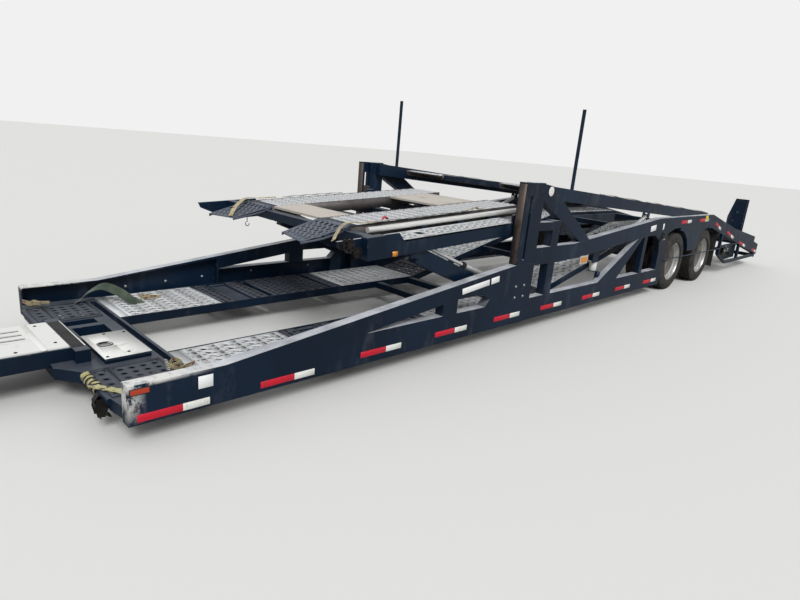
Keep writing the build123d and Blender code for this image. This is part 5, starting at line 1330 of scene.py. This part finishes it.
class TRAILER_OT_running_gear(bpy.types.Operator):
    """Leaf springs and brake chambers at the axles, and strap winches on the guards ahead of the wheels"""

    bl_idname = "trailer.running_gear"
    bl_label = "Running Gear"

    def execute(self, context):
        self.springs()
        self.winches()
        return {"FINISHED"}

    def springs(self):
        """Leaf packs clamped under each axle, and a brake chamber behind it.

        A leaf's foot is z = low + sag (x / half)^2, each leaf shorter than the one above it.
        """
        leaves, clamps, chambers, rods = [], [], [], []
        back, inboard, height = CHAMBER
        for x in AXLES:
            for side in SIDES:
                y = side * TRACK
                for index in range(LEAVES):
                    half = LEAF_HALF - LEAF_STEP * index
                    low = LEAF_HEIGHT + LEAF_RISE * (2 - index)

                    def place(u, v, w):
                        return np.column_stack([x + u, y + v, low + SAG * (u / LEAF_HALF) ** 2 + w])

                    leaves.append(strip(place, (-half, half), (-LEAF_WIDE / 2, LEAF_WIDE / 2),
                                        (0.0, LEAF_THICK), 14))
                for along, across in ((-1, -1), (-1, 1), (1, -1), (1, 1)):
                    spot = (x + along * U_BOLT_HALVES[0], y + across * U_BOLT_HALVES[1], 0.0)
                    clamps.append(lathe(U_BOLT, spot, "z", 8))
                (long, wide), levels = CLAMP
                clamps.append(block((x - long, x + long), (y - wide, y + wide), levels))
                chambers.append(lathe(CHAMBER_PROFILE, (x - back, side * inboard, height), "x", 28))
                rods.append(tube([(x + end, side * inboard, height) for end in PUSH_ROD], 0.010))
                rods.append(block((x - 0.085, x - 0.060), (inboard - 0.012, inboard + 0.012),
                                  (height - 0.050, height + 0.050), side=side))
        piece("spring_leaves", leaves, "dark steel")
        piece("spring_clamps", clamps, "greasy steel", 40)
        piece("brake_chambers", chambers, "charcoal enamel", 40)
        piece("brake_push_rods", rods, "galvanised steel", 40)

    def winches(self):
        """Strap winches' pierced discs on stub shafts, a large and a small one on each guard."""
        plates = []
        for side in SIDES:
            for s, z, size in GUARD_WINCHES:
                plates += round_plate((at(s), z), FRAME_FACE + 0.0065, side, size * 0.62, size * 0.28,
                                      size * 0.97, 6, (size * 0.36, size * 0.42), 0.006)
                shaft = [(0.0, FRAME_FACE), (size * 0.3, FRAME_FACE), (size * 0.3, FRAME_FACE + 0.007),
                         (0.0, FRAME_FACE + 0.0075)]
                plates.append(lathe(shaft, (at(s), 0.0, z), "y", 16, side))
        piece("guard_winches", plates, "dark steel", 40)


# Lashings along the rear deck's rails, as (distance from the hinge, v) of each bend
LASHINGS = (((1.72, 1.126), (1.95, 1.148), (2.20, 1.124), (2.50, 1.148), (2.86, 1.130)),
            ((3.20, 1.148), (3.42, 1.126), (3.60, 1.148), (3.78, 1.130)),
            ((4.00, 1.128), (4.35, 1.148), (4.75, 1.126), (5.15, 1.148), (5.60, 1.134)))
RINGS, RAIL_MIDDLE, RAIL_CLEAR = (1.66, 3.12, 3.90), 1.136, 0.0665
# Valve bank and filter behind the chord: stations, distances from the middle and heights
VALVES, VALVE_START, VALVE_PITCH, VALVE_BODY = 5, 6.12, 0.095, ((0.0, 0.080), (0.955, 1.085), (0.892, 0.972))
SPOOL = ((0.0, 0.972), (0.016, 0.972), (0.016, 1.009), (0.009, 1.014), (0.009, 1.048), (0.014, 1.052),
         (0.014, 1.062), (0.0, 1.066))
BRACKETS = (((6.10, 6.62), (0.94, 1.25), (0.880, 0.891)), ((5.825, 5.915), (1.08, 1.20), (0.510, 0.520)),
            ((5.845, 5.895), (1.19, 1.24), (0.380, 0.516)))
FILTER = ((0.0, 0.518), (0.044, 0.520), (0.050, 0.530), (0.050, 0.640), (0.044, 0.650), (0.034, 0.653),
          (0.034, 0.674), (0.0, 0.676))
FILTER_STATION, FILTER_Y = 5.87, 1.135
# Cradle behind the wheels: the tray's outline (station, height), then what it carries
TRAY, TRAY_FACE = ((10.59, 0.410), (10.59, 0.552), (11.80, 0.552), (11.80, 0.262), (11.13, 0.262)), 1.215
DRUM_STATION, DRUM_HEIGHT = 10.92, 0.455
DRUM = ((0.0, 1.221), (0.090, 1.221), (0.096, 1.226), (0.096, 1.234), (0.050, 1.238), (0.050, 1.262),
        (0.082, 1.266), (0.082, 1.274), (0.0, 1.276))
DRUM_CAP = ((0.0, 1.276), (0.030, 1.276), (0.030, 1.284), (0.0, 1.286))
CRANK = ((11.02, 1.245, 0.50), (11.30, 1.250, 0.40), (11.44, 1.245, 0.33))
BINDER_BAR = ((10.80, 1.245, 0.525), (11.06, 1.252, 0.535))
BINDER = ((11.12, 11.19), (1.222, 1.262), (0.425, 0.490))
# Ramp flaps, as (up from the hinge end, y): holes, dimples with their radius, and ribs' y and upper end
FLAP_HOLES = ((0.745, 0.990), (0.745, 1.040), (0.745, 1.090), (0.745, 1.140), (0.10, 0.900), (0.10, 0.980),
              (0.10, 1.060), (0.10, 1.130), (0.30, 1.120), (0.50, 1.120))
FLAP_DIMPLES = ((0.026, (0.52, 1.01)), (0.020, (0.34, 0.95)))
FLAP_RIBS = ((0.862, 0.42), (1.150, 0.72))
FLAP_LEAN = {"left": 0.0, "right": math.radians(99.46)}  # how far back from upright each flap rests


class TRAILER_OT_rear_fittings(bpy.types.Operator):
    """Lashings on the rear deck, valves and filter inside the side frames, cradle gear and flap pressings"""

    bl_idname = "trailer.rear_fittings"
    bl_label = "Rear Fittings"

    def execute(self, context):
        self.lashings()
        self.valves()
        self.cradle()
        self.flap_pressings()
        return {"FINISHED"}

    def lashings(self):
        """Faded straps left lying along the rear deck's rails, and the rings that they end at."""
        straps, rings = [], []
        turn = np.linspace(0, 2 * math.pi, 17)
        for side in SIDES:
            deck = deck_place("rear_deck", side, ahead=-1)
            for run in LASHINGS:
                u, v = np.array(run).T
                lift = RAIL_CLEAR + 0.006 * (np.arange(len(u)) % 2)
                straps.append(webbing(deck(u, v, lift), 0.045, (0.1, 1, 0.1), count=50))
            for u in RINGS:
                ring = deck(u - 0.030 * np.cos(turn), RAIL_MIDDLE + 0.022 * np.sin(turn), RAIL_CLEAR + 0.001)
                rings.append(tube(ring, 0.0055, 8, False))
        piece("rear_deck_lashings", straps, "pale webbing", 60, "rear_deck")
        piece("rear_deck_rings", rings, "galvanised steel", 60, "rear_deck")

    def valves(self):
        """A bank of spool valves on a bracket inside each frame, and the filter beside the side lamp."""
        blocks, spools, filters, brackets = [], [], [], []
        for side in SIDES:
            for s in VALVE_START + VALVE_PITCH * np.arange(VALVES):
                (s0, s1), across, levels = VALVE_BODY
                blocks.append(block((at(s + s1), at(s + s0)), across, levels, 0.004, side))
                spools.append(lathe(SPOOL, spot_on(s + 0.040, side * 1.02, 0.0), "z", 12))
            for (s0, s1), across, levels in BRACKETS:
                brackets.append(block((at(s1), at(s0)), across, levels, 0.002, side))
            filters.append(lathe(FILTER, spot_on(FILTER_STATION, side * FILTER_Y, 0.0), "z", 28))
        piece("valve_bank", blocks, "dark steel")
        piece("valve_spools", spools, "galvanised steel", 40)
        piece("filter_canister", filters, "painted cover", 40)
        piece("valve_brackets", brackets, "deck enamel")

    def cradle(self):
        """Dark tray, drum and ratchet binder carried between the bars of the rear cradle."""
        trays, drums, bits = [], [], []
        centre = spot_on(DRUM_STATION, 0.0, DRUM_HEIGHT)
        for side in SIDES:
            outline = [(at(s), z) for s, z in TRAY]
            trays.append(prism(outline, 0.0, 0.006, flat_on_side(TRAY_FACE, side), 0.001))
            crank, rod = ([spot_on(s, side * y, z) for s, y, z in path] for path in (CRANK, BINDER_BAR))
            drums += [lathe(DRUM, centre, "y", 32, side), tube(crank, 0.016)]
            (s0, s1), across, levels = BINDER
            bits += [tube(rod, 0.012), block((at(s1), at(s0)), across, levels, 0.004, side),
                     lathe(DRUM_CAP, centre, "y", 16, side)]
        piece("cradle_trays", trays, "deck enamel")
        piece("cradle_drums", drums, "dark steel", 40)
        piece("cradle_binders", bits, "galvanised steel", 40)

    def flap_pressings(self):
        """Holes drawn as black discs of painted shade, dimples and ribs on each ramp flap: a along it from
        its hinge end, b across, c proud.
        """
        low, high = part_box("rear_flap_left")
        circle = round_outline(12)
        for name, side in HANDS:
            body, lean = f"rear_flap_{name}", FLAP_LEAN[name]
            pivot = np.array(JOINTS[f"{body}_turn"]["pos_m"])
            along = np.array([-math.sin(lean), 0.0, math.cos(lean)])
            proud = np.array([math.cos(lean), 0.0, math.sin(lean)])
            foot, face = low.z - pivot[2], high.x - pivot[0]

            def place(a, b, c):
                return (pivot * (1, 0, 1) + np.outer(foot + a, along) + np.outer(b, (0, side, 0))
                        + np.outer(face + c, proud))

            # Each hole is a black disc just proud of the flap: painted shade where the hole is.
            holes = [prism(circle * 0.014 + spot, 0.0, 0.0012, place, 0.0003) for spot in FLAP_HOLES]
            piece(f"{body}_holes", holes, "black rubber", body=body)
            pressings = [prism(circle * radius + spot, 0.0, 0.0028, place, 0.001)
                         for radius, spot in FLAP_DIMPLES]
            pressings += [strip(place, (0.04, end), (y - 0.008, y + 0.008), (0.0, 0.003))
                          for y, end in FLAP_RIBS]
            piece(f"{body}_pressings", pressings, "charcoal enamel", 40, body)


class StageSettings(bpy.types.PropertyGroup):
    """Floor and light."""

    floor_colour: bpy.props.StringProperty(name="Floor", description="Colour of the floor", default="#D8D8D6")
    yard_colour: bpy.props.StringProperty(name="Floor's light", default="#8E8E8B",
                                          description="Colour that the floor throws on the trailer")
    sun: bpy.props.FloatProperty(name="Sun", description="Strength of the one soft lamp", default=2.1)
    sky: bpy.props.FloatProperty(name="Sky", description="Strength of the even light from all round",
                                 default=0.64)
    gloss: bpy.props.FloatProperty(name="Gloss", default=0.50,
                                   description="Brightness of the sky that gloss and metal show")


# The photograph's camera, in the trailer's frame
CAMERA_PLACE = Vector((6.720, 4.456, 1.889))
CAMERA_YAW = math.radians(-135.77)
CAMERA_PITCH = math.radians(-15.335)
CAMERA_ROLL = math.radians(5.004)
CAMERA_LENS, FAR_CLIP = 25.48, 400
SUN_AHEAD = Vector((-0.38, -0.60, -0.70))
SUN_WIDTH = math.radians(24)
FLOOR_REACH, PALE_SKY = 120.0, 0.88


class TRAILER_OT_stage(bpy.types.Operator):
    """The camera at the photograph's viewpoint, a plain floor and soft light"""

    bl_idname = "trailer.stage"
    bl_label = "Stage"

    def execute(self, context):
        context.scene.view_settings.view_transform = "Standard"
        self.camera(context.scene)
        self.floor(context.scene)
        self.light(context.scene)
        return {"FINISHED"}

    def camera(self, scene):
        """Forward from yaw and pitch; the level direction across it is then rolled."""
        along, down = math.cos(CAMERA_PITCH), math.sin(CAMERA_PITCH)
        forward = Vector((along * math.cos(CAMERA_YAW), along * math.sin(CAMERA_YAW), down))
        level = forward.cross(Vector((0, 0, 1))).normalized()
        upright = level.cross(forward)
        right = level * math.cos(CAMERA_ROLL) + upright * math.sin(CAMERA_ROLL)
        above = upright * math.cos(CAMERA_ROLL) - level * math.sin(CAMERA_ROLL)
        data = bpy.data.cameras.new("photo_camera")
        data.lens = CAMERA_LENS
        data.clip_end = FAR_CLIP
        camera = bpy.data.objects.new("photo_camera", data)
        scene.collection.objects.link(camera)
        turn = Matrix((right, above, -forward)).transposed()
        camera.matrix_world = Matrix.Translation(CAMERA_PLACE) @ turn.to_4x4()
        scene.camera = camera

    def floor(self, scene):
        """A pale floor; what isn't the camera sees the colour that it throws on the trailer."""
        settings = scene.trailer_stage
        mesh = bpy.data.meshes.new("floor")
        corners = [(x * FLOOR_REACH, y * FLOOR_REACH, 0) for x, y in ((-1, -1), (1, -1), (1, 1), (-1, 1))]
        mesh.from_pydata(corners, [], [(0, 1, 2, 3)])
        floor = bpy.data.objects.new("floor", mesh)
        scene.collection.objects.link(floor)
        material, tree, shader = new_material("plain_floor", {"Roughness": 0.95})
        seen = add_node(tree, "LightPath", output="Is Camera Ray")
        feed(shader, {"Base Color": layered(tree, settings.yard_colour, (seen, settings.floor_colour))})
        mesh.materials.append(material)

    def light(self, scene):
        """An even white sky, paler to the camera and dimmer in gloss, and one wide sun."""
        settings = scene.trailer_stage
        world = bpy.data.worlds.new("soft_sky")
        scene.world = world
        world.use_nodes = True
        tree = world.node_tree
        ray = add_node(tree, "LightPath").node.outputs
        strength = share(tree, (ray["Is Camera Ray"], 0.0, 1.0, 0.0, PALE_SKY))
        for part in (share(tree, (ray["Is Glossy Ray"], 0.0, 1.0, 0.0, settings.gloss)),
                     share(tree, (ray["Is Diffuse Ray"], 0.0, 1.0, 0.0, settings.sky))):
            strength = add_node(tree, "Math", (strength, part), operation="MAXIMUM")
        feed(tree.nodes["Background"], {"Color": "#FFFFFF", "Strength": strength})
        lamp = bpy.data.lights.new("soft_sun", "SUN")
        lamp.energy = settings.sun
        lamp.angle = SUN_WIDTH
        sun = bpy.data.objects.new("soft_sun", lamp)
        sun.rotation_euler = SUN_AHEAD.to_track_quat("-Z", "Y").to_euler()
        scene.collection.objects.link(sun)


class TRAILER_PT_panel(bpy.types.Panel):
    """Lists the trailer's operators and settings"""

    bl_idname = "TRAILER_PT_panel"
    bl_label = "Trailer"
    bl_space_type = "VIEW_3D"
    bl_region_type = "UI"
    bl_category = "Trailer"

    def draw(self, context):
        for operator in OPERATORS:
            self.layout.operator(operator.bl_idname)
        for name, _ in GROUPS:
            settings = getattr(context.scene, name)
            for key in settings.bl_rna.properties.keys():
                if key not in {"rna_type", "name"}:
                    self.layout.prop(settings, key)


GROUPS = (("trailer_finish", FinishSettings), ("trailer_track", TrackSettings),
          ("trailer_wheel", WheelSettings), ("trailer_nose", NoseSettings), ("trailer_stage", StageSettings))
OPERATORS = (TRAILER_OT_stage, TRAILER_OT_finish_nodes, TRAILER_OT_lower_tracks, TRAILER_OT_upper_tracks,
             TRAILER_OT_wheels, TRAILER_OT_nose, TRAILER_OT_front_deck, TRAILER_OT_markings,
             TRAILER_OT_running_gear, TRAILER_OT_rear_fittings)


def register():
    for name, group in GROUPS:
        bpy.utils.register_class(group)
        setattr(bpy.types.Scene, name, bpy.props.PointerProperty(type=group))
    for operator in OPERATORS:
        bpy.utils.register_class(operator)
    bpy.utils.register_class(TRAILER_PT_panel)


def unregister():
    bpy.utils.unregister_class(TRAILER_PT_panel)
    for operator in reversed(OPERATORS):
        bpy.utils.unregister_class(operator)
    for name, group in reversed(GROUPS):
        delattr(bpy.types.Scene, name)
        bpy.utils.unregister_class(group)


def main():
    register()
    for operator in OPERATORS:
        section, name = operator.bl_idname.split(".")
        getattr(getattr(bpy.ops, section), name)()


if __name__ == "__main__":
    main()
